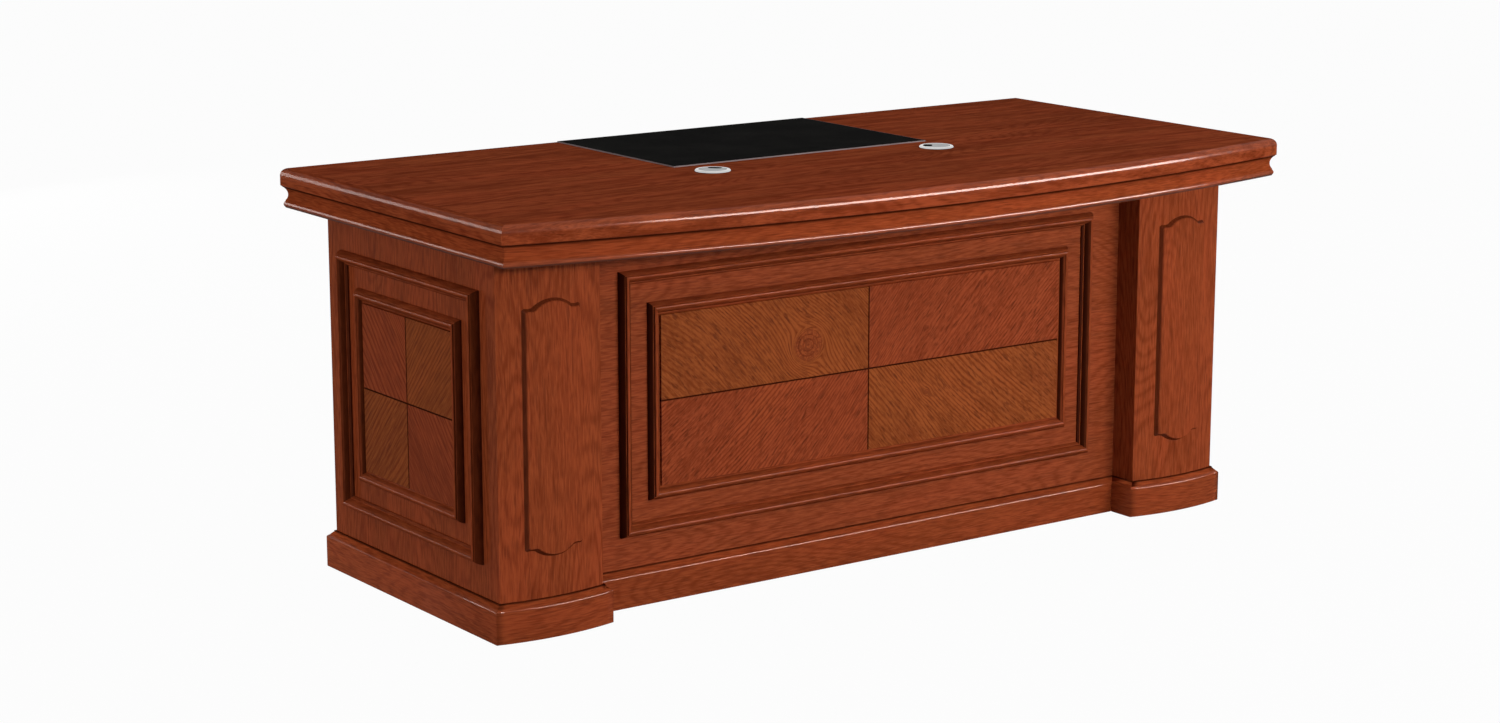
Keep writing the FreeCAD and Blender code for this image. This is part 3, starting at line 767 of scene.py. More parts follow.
    def build(self) -> bpy.types.Material:
        """Make the material."""
        material = bpy.data.materials.new(self.name)
        shader = Shader(material)
        way = self.fibres(shader)
        seed = way.seed
        straight = shader.vector(way.along, way.across, way.depth)
        sway = SWAY.on(shader, straight, seed).swing()
        ripple = RIPPLE.on(shader, straight, seed).swing()
        across = way.across + sway * self.sway + ripple * RIPPLE_REACH
        bent = shader.vector(way.along, across, way.depth)
        rings = RINGS.on(shader, bent, seed) * self.lines
        if self.rows:
            rings = rings + across * self.rows
        contour = ((rings * math.tau).maths("SINE") * 0.5 + 0.5) ** LINE_SHARPNESS
        cloud, fibre, fine = (layer.on(shader, bent, seed) for layer in (CLOUD, FIBRE, FINE))
        pores = PORES.on(shader, bent, seed).ramp(*PORE_EDGE)

        tone = 0.5 + fibre.swing() * FIBRE_WEIGHT + cloud.swing() * CLOUD_WEIGHT + fine.swing() * FINE_WEIGHT
        figure = cloud.ramp(*LINE_PATCHES) * self.figure if self.rows else self.figure
        tone = tone - (contour - LINE_MEAN) * figure
        if self.broad:
            tone = tone + BROAD.on(shader, bent, seed).swing() * self.broad
        colour = self._wood(shader, tone, cloud, way.golden)
        if self.knot:
            here = shader.vector(*shader.place())
            speckle = SPECKLE.on(shader, here, seed).ramp(*SPECKLE_EDGE)
            pores = pores.maths("MAXIMUM", speckle * way.knot)
        colour = shader.mix(pores * self.pores, colour, PORE_BROWN)
        # Near-black darkening: painted shade on moulding sides, cartouche edges and under the overhang; a
        # joint's dark stain on plinths.
        if self.shade_and_joint:
            colour = shader.mix(self.shade_and_joint.share(shader), colour, SHADE_AND_JOINT_DARK)
        if self.gold:
            colour = shader.mix(self._grooves(shader), colour, SHADE_AND_JOINT_DARK)
        shader.finish({"Base Color": colour, "Roughness": self._roughness(shader) + pores * PORE_ROUGHNESS,
                       "Specular IOR Level": LACQUER_SPECULAR, "Specular Tint": rgba(LACQUER_TINT)},
                      (fibre * FIBRE_RISE - pores, self.relief, RELIEF_DEPTH) if self.relief else None,
                      self._matt(shader))
        return material

    def _wood(self, shader: Shader, tone: Value, cloud: Value, golden: Number) -> Value:
        """Colour of the stained wood without its pores.

        Args:
            shader: The finish's node tree.
            tone: Lightness of the fibres.
            cloud: Slow noise that shifts the hue.
            golden: Share of the second base colour.

        Returns:
            The colour.
        """
        base = self.tint
        if self.gold:
            share = golden * GOLD_WEIGHT + GOLD_LEAST + cloud.swing() * GOLD_CLOUD
            base = shader.mix(share.ramp(0.0, 1.0), self.tint, self.gold)
        dark, light = (shader.mix(1.0, base, shade, "MULTIPLY") for shade in (DARK_WOOD, LIGHT_WOOD))
        colour = shader.mix(tone.ramp(*TONE_RANGE), dark, light)
        reddened = shader.mix(1.0, colour, RED_WOOD, "MULTIPLY")
        return shader.mix(cloud.ramp(*RED_PATCHES), colour, reddened)

    def _matt(self, shader: Shader) -> Value:
        """Share without the mirror layer: flats are rubbed down, edges polished, recesses left raw.

        Args:
            shader: The finish's node tree.

        Returns:
            The share, from 0 to 1.
        """
        along, _, up = (abs(part) for part in shader.facing())
        edge = up.ramp(*OFF_UPRIGHT) * (up + along * END_SHIFT).ramp(*OFF_LEVEL, 1.0, 0.0)
        shine = (1.0 - along * END_DULL) * (self.shine - self.polish)
        matt = 1.0 - self.polish - edge * shine
        if self.shade_and_joint:
            matt = matt.maths("MAXIMUM", self.shade_and_joint.matt(shader))
        if self.gold:
            matt = matt.maths("MAXIMUM", self._grooves(shader).ramp(0.0, GROOVE_MATT))
        return matt

    def _roughness(self, shader: Shader) -> Number:
        """Roughness of the lacquer; the desktop's rounded edge is polished.

        Args:
            shader: The finish's node tree.

        Returns:
            The roughness.
        """
        if self.grain is not Grain.DESKTOP:
            return self.gloss
        x, y, _ = shader.place()
        from_end, from_front = self._insets(x, y)
        return from_end.maths("MINIMUM", from_front).ramp(*END_BLEND, EDGE_GLOSS, self.gloss)

    def _grooves(self, shader: Shader) -> Value:
        """Share of the V-groove cross between the quarter boards.

        Args:
            shader: The finish's node tree.

        Returns:
            The share, from 0 to 1.
        """
        places = shader.place()
        across, up = (abs(places[axis] - self.field.middle[axis]) for axis in (self.side, 2))
        return across.maths("MINIMUM", up).ramp(GROOVE_FLOOR, GROOVE_HALF, GROOVE_STAIN, 0.0)


FRONT_BOARDS = Veneer("front_quarters", Grain.FRONT_QUARTERS, seed=73.0, figure=0.36, lines=18.0, rows=150.0,
                      sway=0.04, broad=0.6, tint=(0.240, 0.045, 0.0146), gold=(0.232, 0.056, 0.0134),
                      pores=0.5, knot=(0.29, 0.42))
SIDE_BOARDS = Veneer("side_quarters", Grain.SIDE_QUARTERS, seed=55.0, figure=0.28, lines=12.0, rows=110.0,
                     sway=0.04, broad=0.25, tint=(0.215, 0.038, 0.0115), gold=(0.208, 0.048, 0.0105))


@dataclass(frozen=True)
class Metal:
    """Metal with fine lengthwise wear.

    Attributes:
        name: The material's name.
        tint: Base colour.
        gloss: Roughness.
        wear: How much the roughness varies.
        stretch: Features per metre of the wear along X, Y and Z.
        throat: Radius and height within and below which a grommet is black inside.
        metallic: How far the surface mirrors as bare metal.
        specular: Level of the mirror layer where it is not bare metal.
        made: Every metal finish so far.
    """

    name: str
    tint: Colour
    gloss: float
    wear: float = 0.06
    stretch: Place = (120.0, 900.0, 900.0)
    throat: Point | None = None
    metallic: float = 1.0
    specular: float = 0.5
    made: ClassVar[list[bpy.types.Material]] = []

    SCRATCH_SEED, SCRATCH_DETAIL, SCRATCH_RELIEF = 2.0, 3.0, 0.04
    CLOUD_STRETCH, CLOUD_SEED = (25.0, 25.0, 25.0), 7.0
    WORN = 0.82

    def build(self) -> bpy.types.Material:
        """Make the material."""
        material = bpy.data.materials.new(self.name)
        self.made.append(material)
        shader = Shader(material)
        where = shader.vector(*shader.place())
        scratch = shader.noise(where, self.stretch, self.SCRATCH_SEED, self.SCRATCH_DETAIL)
        cloud = shader.noise(where, self.CLOUD_STRETCH, self.CLOUD_SEED)
        worn = tuple(c * self.WORN for c in self.tint)
        colour = shader.mix(cloud.ramp(*WORN_PATCHES), self.tint, worn)
        rough = self.gloss + scratch.swing() * self.wear + cloud.swing() * self.wear
        metal = self.metallic
        inside = None
        if self.throat:
            radius, height = self.throat
            inside = (shader.off_line(GROMMET_PLACE) < radius) * (shader.place()[2] < height)
            colour = shader.mix(inside, colour, THROAT_BLACK)
            metal = metal - inside * metal
        shader.finish({"Base Color": colour, "Metallic": metal, "Roughness": rough,
                       "Specular IOR Level": self.specular},
                      (scratch, self.SCRATCH_RELIEF, RELIEF_DEPTH), inside)
        return material


@dataclass(frozen=True)
class Leather:
    """Fine grained black leather.

    Attributes:
        name: The material's name.
        tint: Base colour.
        cells: Grain cells per metre.
        sheen: Share of the mirror layer.
    """

    name: str
    tint: Colour = (0.0042, 0.0040, 0.0036)
    cells: float = 620.0
    sheen: float = 0.05

    CREASE, CREASE_SHARE, CREASE_ROUGHNESS = (0.02, 0.22), 0.5, 0.15
    RUB_STRETCH, RUB_SEED, RUB_DETAIL = (9.0, 9.0, 9.0), 4.0, 3.0
    RUB_HAZE, RUB_ROUGHNESS, RUB_RISE = 2.4, 0.12, 0.4
    ROUGHNESS, SPECULAR = 0.58, 0.2
    RELIEF, RELIEF_DEPTH = 0.35, 0.3 * MM

    def build(self) -> bpy.types.Material:
        """Make the material."""
        material = bpy.data.materials.new(self.name)
        shader = Shader(material)
        where = shader.vector(*shader.place())
        cells = shader.node("ShaderNodeTexVoronoi", {"feature": "DISTANCE_TO_EDGE"},
                            {"Vector": where, "Scale": self.cells}, out="Distance")
        grain = cells.ramp(*self.CREASE)
        creased = 1.0 - grain
        rub = shader.noise(where, self.RUB_STRETCH, self.RUB_SEED, self.RUB_DETAIL)
        haze = tuple(c * self.RUB_HAZE for c in self.tint)
        colour = shader.mix(rub.ramp(*WORN_PATCHES), self.tint, haze)
        colour = shader.mix(creased * self.CREASE_SHARE, colour, CREASE_BLACK)
        rough = self.ROUGHNESS + creased * self.CREASE_ROUGHNESS + rub.swing() * self.RUB_ROUGHNESS
        shader.finish({"Base Color": colour, "Roughness": rough, "Specular IOR Level": self.SPECULAR},
                      (grain + rub * self.RUB_RISE, self.RELIEF, self.RELIEF_DEPTH), 1.0 - self.sheen)
        return material


def paint(material: bpy.types.Material, *nodes: str) -> None:
    """Give CAD nodes a finish.

    Args:
        material: The finish.
        nodes: Names of the nodes.
    """
    for name in nodes:
        slots = frame["nodes"][name].data.materials
        slots.clear()
        slots.append(material)
    LOG.info("%s on %d nodes", material.name, len(nodes))


def placed(name: str, data: bpy.types.ID) -> bpy.types.Object:
    """A new object in the scene.

    Args:
        name: The object's name.
        data: Its mesh, light or camera.

    Returns:
        The object.
    """
    made = bpy.data.objects.new(name, data)
    bpy.context.scene.collection.objects.link(made)
    return made


def add_piece(name: str, mesh: bpy.types.Mesh, material: bpy.types.Material | None, body: str,
              replaced: Iterable[str] = ()) -> bpy.types.Object:
    """Put a finished mesh on a body of the desk.

    Args:
        name: The piece's name.
        mesh: Its mesh, in place.
        material: Its finish, or None if the mesh has one.
        body: The body that it moves with.
        replaced: CAD nodes that it stands for.

    Returns:
        The new object.
    """
    piece = placed(name, mesh)
    if material:
        mesh.materials.clear()
        mesh.materials.append(material)
    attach(piece, body)
    if replaced:
        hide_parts(*replaced)
    LOG.info("%s: %d faces on %s", name, len(mesh.polygons), body)
    return piece


def evaluated_mesh(holder: bpy.types.Object) -> bpy.types.Mesh:
    """Plain mesh of an object with its modifiers applied; the object is removed.

    Args:
        holder: The object.

    Returns:
        The new mesh.
    """
    graph = bpy.context.evaluated_depsgraph_get()
    mesh = bpy.data.meshes.new_from_object(holder.evaluated_get(graph), depsgraph=graph)
    bpy.data.objects.remove(holder)
    return mesh


def mesh_of(build: bmesh.types.BMesh, name: str) -> bpy.types.Mesh:
    """Mesh of a finished build, which is freed.

    Args:
        build: The build.
        name: The mesh's name.

    Returns:
        The new mesh.
    """
    mesh = bpy.data.meshes.new(name)
    build.to_mesh(mesh)
    build.free()
    return mesh


def skin(build: bmesh.types.BMesh, near: list, far: list) -> None:
    """Join two closed rings by faces.

    Args:
        build: The mesh to add to.
        near: Vertices of the first ring.
        far: As many vertices of the second.
    """
    for i in range(len(near)):
        j = (i + 1) % len(near)
        build.faces.new((near[i], near[j], far[j], far[i]))


def softened(node: str, width: float, below: float = math.inf) -> bpy.types.Mesh:
    """Copy of a CAD node's mesh with its sharp edges rounded.

    Args:
        node: The CAD node.
        width: Width of the rounding in metres.
        below: Height from which edges stay sharp.

    Returns:
        The new mesh.
    """
    build = bmesh.new()
    build.from_mesh(frame["nodes"][node].data)
    bmesh.ops.remove_doubles(build, verts=build.verts, dist=MERGE_GAP)
    bmesh.ops.dissolve_limit(build, angle_limit=FLAT_ANGLE, verts=build.verts, edges=build.edges)
    share = build.edges.layers.float.new("bevel_weight_edge")
    for face in build.faces:
        face.smooth = True
    for edge in build.edges:
        sharp = edge.calc_face_angle(0.0) > SHARP_ANGLE
        low = max(vert.co.z for vert in edge.verts) < below
        edge[share] = float(sharp and low)
        edge.smooth = low or not sharp
    holder = placed(node, mesh_of(build, node))
    bevel = holder.modifiers.new("round", "BEVEL")
    bevel.width, bevel.segments, bevel.limit_method = width, ROUNDING_FACES, "WEIGHT"
    holder.modifiers.new("flat_faces", "WEIGHTED_NORMAL")
    return evaluated_mesh(holder)


def arc(start: Point, via: Point, end: Point, steps: int) -> list[Point]:
    """Points on the circle through three points, after the first one.

    Args:
        start: First point.
        via: A point between.
        end: Last point.
        steps: Number of points to return.

    Returns:
        Points from just after start up to end.
    """
    (ax, ay), (bx, by), (cx, cy) = start, via, end
    turn = 2 * (ax * (by - cy) + bx * (cy - ay) + cx * (ay - by))
    a2, b2, c2 = ax * ax + ay * ay, bx * bx + by * by, cx * cx + cy * cy
    mx = (a2 * (by - cy) + b2 * (cy - ay) + c2 * (ay - by)) / turn
    my = (a2 * (cx - bx) + b2 * (ax - cx) + c2 * (bx - ax)) / turn
    radius = math.hypot(ax - mx, ay - my)
    first = math.atan2(ay - my, ax - mx)
    sweep = math.atan2(cy - my, cx - mx) - first
    middle = math.atan2(by - my, bx - mx) - first
    sweep -= math.tau * round((sweep - 2 * middle) / math.tau)
    angles = [first + sweep * i / steps for i in range(1, steps + 1)]
    return [(mx + radius * math.cos(angle), my + radius * math.sin(angle)) for angle in angles]


@dataclass
class DeskTop:
    """Bow-front board and the cove-and-bead length under its edge, finely stepped round the bow.

    Attributes:
        bow_middle: Y of the bow's centre.
        bow_radius: Radius of the bow.
        front_steps: Steps along the bow.
        end_steps: Steps along each straight side.
        round_steps: Steps round the board's upper edge.
        hole_steps: Steps round a grommet hole.
        rounding: Radius of the board's upper edge.
        flat: Width of the narrow flat beside the rounding.
        ease: Easing of the board's lower edge.
        border: Inset of the rings that end the board's band.
        hole: Radius of the grommet holes.
        recess: Depth of the pad's recess.
        gap: Clearance round the pad.
        crisp: Angle from which an edge stays hard.
        stain: How far the painted shadow runs down from the board's underside.
    """

    bow_middle: float = 3650 * MM
    bow_radius: float = TOP_BOW_RADIUS
    front_steps: int = 96
    end_steps: int = 16
    round_steps: int = 10
    hole_steps: int = 48
    rounding: float = 14 * MM
    flat: float = 0.5 * MM
    ease: float = 1.0 * MM
    border: float = 19 * MM
    hole: float = 30 * MM
    recess: float = 4 * MM
    gap: float = 0.5 * MM
    crisp: float = math.radians(35)
    stain: float = 6.5 * MM

    # Section of the moulding in millimetres: insets from the outline, heights from the board's underside.
    COVE = ((2.0, -1.0), (10.4, -15.0), (6.6, -27.0))
    BEAD = ((6.6, -28.5), (3.6, -34.5), (6.6, -40.5))
    LIP = (0.8, -0.35)
    DEPTH = 41.0
    WIDTH = 45.0
    COVE_STEPS, BEAD_STEPS = 10, 5

    def __post_init__(self) -> None:
        """Read the board's place from the frame."""
        self.low, self.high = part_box("desktop_board")

    def ring(self, inset: float) -> list[Point]:
        """Outline of the top, counter-clockwise from the left front corner.

        Args:
            inset: How far it is moved inwards.

        Returns:
            Its points.
        """
        half = self.high.x - inset
        back = self.high.y - inset
        front = []
        for i in range(self.front_steps + 1):
            x = half * (2 * i / self.front_steps - 1)
            front.append((x, self.bow_middle - math.sqrt((self.bow_radius - inset) ** 2 - x * x)))
        corner = front[-1][1]
        right = [(half, corner + (back - corner) * i / self.end_steps) for i in range(1, self.end_steps + 1)]
        rear = [(half * (1 - 2 * i / self.end_steps), back) for i in range(1, self.end_steps)]
        left = [(-x, y) for x, y in reversed(right)]
        return front + right + rear + left

    def corners(self) -> tuple[int, int, int, int]:
        """Places of the four corners in a ring."""
        steps = self.front_steps
        return 0, steps, steps + self.end_steps, steps + 2 * self.end_steps

    def band(self, build: bmesh.types.BMesh, section: list[Point], closed: bool) -> list[list]:
        """Sweep a section round the outline, with crisp mitres.

        Args:
            build: The mesh to add to.
            section: Inset and height of each point.
            closed: Whether the last point joins the first.

        Returns:
            The rings of vertices.
        """
        rings = [[build.verts.new((x, y, z)) for x, y in self.ring(inset)] for inset, z in section]
        pairs = list(zip(rings, rings[1:] + (rings[:1] if closed else [])))
        for near, far in pairs:
            skin(build, near, far)
        bmesh.ops.recalc_face_normals(build, faces=build.faces)
        for edge in build.edges:
            edge.smooth = edge.calc_face_angle(0.0) < self.crisp
        for near, far in pairs:
            for corner in self.corners():
                build.edges.get((near[corner], far[corner])).smooth = False
        return rings

    def board(self) -> bpy.types.Mesh:
        """Mesh of the board: band, top with the recess and the holes, underside."""
        top, foot, r = self.high.z, self.low.z, self.rounding
        turns = [math.pi / 2 * i / self.round_steps for i in range(self.round_steps + 1)]
        quarter = [(r - r * math.sin(a), top - r + r * math.cos(a)) for a in turns]
        section = [(self.border, top), (r + self.flat, top), *quarter, (0.0, foot + self.ease),
                   (self.ease, foot), (self.border, foot)]
        build = bmesh.new()
        rings = self.band(build, section, False)
        upper = self.outline(build, rings[0])
        lower = self.outline(build, rings[-1])
        pad_low, pad_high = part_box("writing_pad")
        x0, x1 = pad_low.x - self.gap, pad_high.x + self.gap
        y0, y1 = pad_low.y - self.gap, pad_high.y + self.gap
        rim = [build.verts.new((x, y, top)) for x, y in ((x0, y0), (x1, y0), (x1, y1), (x0, y1))]
        upper += self.well(build, rim, top - self.recess)
        sleeves_low, sleeves_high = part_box("grommet_sleeves")
        reach = (sleeves_high.y - sleeves_low.y) / 2
        y = sleeves_low.y + reach
        turns = [math.tau * i / self.hole_steps for i in range(self.hole_steps)]
        for x in (sleeves_low.x + reach, sleeves_high.x - reach):
            circle = [build.verts.new((x + self.hole * math.cos(a), y + self.hole * math.sin(a), top))
                      for a in turns]
            upper += self.well(build, circle, foot, lower)
        for edges in (upper, lower):
            bmesh.ops.triangle_fill(build, use_beauty=True, edges=edges)
        bmesh.ops.recalc_face_normals(build, faces=build.faces)
        return self.finished(build, "desktop_bowed_board")

    def outline(self, build: bmesh.types.BMesh, ring: list) -> list:
        """Edges of a ring of vertices, added where they are missing."""
        pairs = zip(ring, ring[1:] + ring[:1])
        return [build.edges.get(pair) or build.edges.new(pair) for pair in pairs]

    def well(self, build: bmesh.types.BMesh, rim: list, floor: float,
             through: list | None = None) -> list:
        """Sink walls from a rim.

        Args:
            build: The mesh to add to.
            rim: The rim's vertices.
            floor: Height of the walls' foot.
            through: List that takes the foot's edges, for a hole; without it the well has a floor.

        Returns:
            The rim's edges.
        """
        foot = [build.verts.new((v.co.x, v.co.y, floor)) for v in rim]
        skin(build, rim, foot)
        if through is None:
            build.faces.new(foot)
        else:
            through += self.outline(build, foot)
        edges = self.outline(build, rim)
        for edge in edges + self.outline(build, foot):
            edge.smooth = False
        return edges

    def moulding(self) -> bpy.types.Mesh:
        """Mesh of the cove-and-bead length, mitred at the corners."""
        cove, (shoulder, nose, heel) = self.COVE, self.BEAD
        lip = (nose[0] + self.LIP[0], (shoulder[1] + nose[1]) / 2 + self.LIP[1])
        tuck = (lip[0], 2 * nose[1] - lip[1])
        points = [(cove[0][0], 0.0), cove[0], *arc(*cove, self.COVE_STEPS), shoulder,
                  *arc(shoulder, lip, nose, self.BEAD_STEPS), *arc(nose, tuck, heel, self.BEAD_STEPS),
                  (heel[0], -self.DEPTH), (self.WIDTH, -self.DEPTH), (self.WIDTH, 0.0)]
        section = [(inset * MM, self.low.z + height * MM) for inset, height in points]
        build = bmesh.new()
        self.band(build, section, True)
        return self.finished(build, "edge_bowed_moulding")

    def finished(self, build: bmesh.types.BMesh, name: str) -> bpy.types.Mesh:
        """Turn a finished build into a smooth mesh.

        Args:
            build: The build.
            name: The mesh's name.

        Returns:
            The new mesh.
        """
        for face in build.faces:
            face.smooth = True
        return mesh_of(build, name)

    def dress(self) -> None:
        """Add the board and its moulding."""
        veneer = Veneer("veneer_desktop", Grain.DESKTOP, tint=(0.228, 0.0437, 0.0140), seed=1.0, figure=0.24,
                        lines=44.0, broad=1.7, relief=0.0, gloss=0.17, polish=0.004)
        add_piece("desktop_bowed_board", self.board(), veneer.build(), "desk",
                  ["desktop_board"])
        # The moulding gets painted shadow under the board and painted shade on the bead's underside.
        moulding = Veneer("moulding_under_edge", Grain.ROUND_CORNERS, seed=9.0, figure=0.1, gloss=EDGE_GLOSS,
                          relief=0.0, shade_and_joint=OverhangShade(self.low.z, self.stain, EDGE_FOOT))
        add_piece("edge_bowed_moulding", self.moulding(), moulding.build(), "desk",
                  ["edge_moulding_front", "edge_moulding_ends", "edge_moulding_rear"])
        paint(Veneer("wood_hidden_battens", Grain.ALONG_X, seed=14.0).build(), "desktop_battens")


@dataclass
class WritingPad:
    """Leather writing pad in the desktop's recess, with a thin metal edging.

    Attributes:
        crown: How far the middle stands above the edge.
        rounding: Radius of the upper edge.
        step: Spacing of the mesh over the top.
        ripple: Height of the slow unevenness.
        strip: Thickness of the edging.
        strip_height: Height of the edging from its foot.
        strip_sunk: How far that foot is below the desktop.
        strip_ease: Easing of the edging's upper edges.
        crisp: Angle from which an edge of the leather stays hard.
    """

    crown: float = 0.5 * MM
    rounding: float = 0.9 * MM
    step: float = 7 * MM
    ripple: float = 0.22 * MM
    strip: float = 0.45 * MM
    strip_height: float = 2.7 * MM
    strip_sunk: float = 0.2 * MM
    strip_ease: float = 0.15 * MM
    crisp: float = math.radians(50)

    RIM_STEPS = 6
    DOME_POWER = 4
    RIPPLE_PITCH, RIPPLE_SEED = 9, 0.4

    def __post_init__(self) -> None:
        """Read the pad's place from the frame."""
        self.low, self.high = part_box("writing_pad")

    def lines(self, low: float, high: float) -> list[float]:
        """Grid lines between two edges, close together over the rounding.

        Args:
            low: Place of the first edge.
            high: Place of the last edge.

        Returns:
            Places of the lines.
        """
        turns = [turn * math.pi / (2 * self.RIM_STEPS) for turn in range(self.RIM_STEPS + 1)]
        rim = [self.rounding * (1 - math.cos(turn)) for turn in turns]
        flat = high - low - 2 * self.rounding
        count = round(flat / self.step)
        inner = [low + self.rounding + flat * i / count for i in range(1, count)]
        return [low + r for r in rim] + inner + [high - r for r in reversed(rim)]

    def height(self, x: float, y: float) -> float:
        """Height of the leather at a point of the plan.

        Args:
            x: Place along the desk's length.
            y: Place along its depth.

        Returns:
            The height above the floor.
        """
        inset = min(x - self.low.x, self.high.x - x, y - self.low.y, self.high.y - y)
        lost = max(self.rounding - inset, 0.0)
        rim = self.rounding - math.sqrt(max(self.rounding ** 2 - lost ** 2, 0.0))
        middle = (self.low + self.high) / 2
        half = (self.high - self.low) / 2
        power = self.DOME_POWER
        dome = (1 - ((x - middle.x) / half.x) ** power) * (1 - ((y - middle.y) / half.y) ** power)
        spot = Vector((x * self.RIPPLE_PITCH, y * self.RIPPLE_PITCH, self.RIPPLE_SEED))
        uneven = noise.noise(spot) * self.ripple * dome
        return self.high.z - self.crown - rim + self.crown * dome + uneven

    def build(self) -> bpy.types.Mesh:
        """Mesh of the leather: crowned top, rounded rim, upright sides and a flat base."""
        xs = self.lines(self.low.x, self.high.x)
        ys = self.lines(self.low.y, self.high.y)
        build = bmesh.new()
        top = [[build.verts.new((x, y, self.height(x, y))) for y in ys] for x in xs]
        for i in range(len(xs) - 1):
            for j in range(len(ys) - 1):
                build.faces.new((top[i][j], top[i + 1][j], top[i + 1][j + 1], top[i][j + 1]))
        rim = [e for e in build.edges if e.is_boundary]
        grown = bmesh.ops.extrude_edge_only(build, edges=rim)["geom"]
        for vert in (g for g in grown if isinstance(g, bmesh.types.BMVert)):
            vert.co.z = self.low.z
        bmesh.ops.holes_fill(build, edges=[e for e in build.edges if e.is_boundary])
        bmesh.ops.recalc_face_normals(build, faces=build.faces)
        mesh = mesh_of(build, "pad_leather")
        mesh.shade_smooth()
        mesh.set_sharp_from_angle(angle=self.crisp)
        return mesh

    def edging(self) -> bpy.types.Mesh:
        """Mesh of the strip round the pad: a closed ring of square section with eased edges."""
        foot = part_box("desktop_board")[1].z - self.strip_sunk
        wide, high, ease = self.strip, self.strip_height, self.strip_ease
        section = [(0.0, 0.0), (wide, 0.0), (wide, high - ease), (wide - ease, high), (ease, high),
                   (0.0, high - ease)]
        build = bmesh.new()
        rings = []
        for out, up in section:
            corners = [(self.low.x - out, self.low.y - out), (self.high.x + out, self.low.y - out),
                       (self.high.x + out, self.high.y + out), (self.low.x - out, self.high.y + out)]
            rings.append([build.verts.new((x, y, foot + up)) for x, y in corners])
        for near, far in zip(rings, rings[1:] + rings[:1]):
            skin(build, near, far)
        bmesh.ops.recalc_face_normals(build, faces=build.faces)
        return mesh_of(build, "pad_edging")

    def dress(self) -> None:
        """Add the leather and its edging."""
        pad = add_piece("leather_pad", self.build(), Leather("pad_black_leather").build(), "desk",
                        ["writing_pad"])
        strip = Metal("pad_edging_satin", (0.24, 0.19, 0.19), 0.42, metallic=0.0, specular=0.0)
        add_piece("pad_edging", self.edging(), strip.build(), "desk")


@dataclass
class Grommets:
    """Chrome cable grommets: sleeves in the desktop and turning caps.

    Attributes:
        rounding: Width of the rounding on the sleeves' edges.
        cap_rounding: Width of the rounding on the caps' edges.
        throat: Radius and height within and below which a sleeve is black.
        cap_throat: Radius and height within and below which a cap is black.
    """

    rounding: float = 1.0 * MM
    cap_rounding: float = 0.7 * MM
    throat: Point = (26.9 * MM, 763.85 * MM)
    cap_throat: Point = (25.6 * MM, 763.6 * MM)

    def dress(self) -> None:
        """Add rounded sleeves and caps."""
        chrome = Metal("grommet_polished_chrome", (0.62, 0.61, 0.60), 0.20, throat=self.throat).build()
        satin = Metal("grommet_satin_chrome", (0.22, 0.22, 0.22), 0.34, 0.08, throat=self.cap_throat).build()
        add_piece("chrome_sleeves", softened("grommet_sleeves", self.rounding), chrome, "desk",
                  ["grommet_sleeves"])
        for side in SIDES:
            add_piece(f"{side}_satin_cap", softened(f"{side}_grommet_cap", self.cap_rounding), satin,
                      f"{side}_cap", [f"{side}_grommet_cap"])


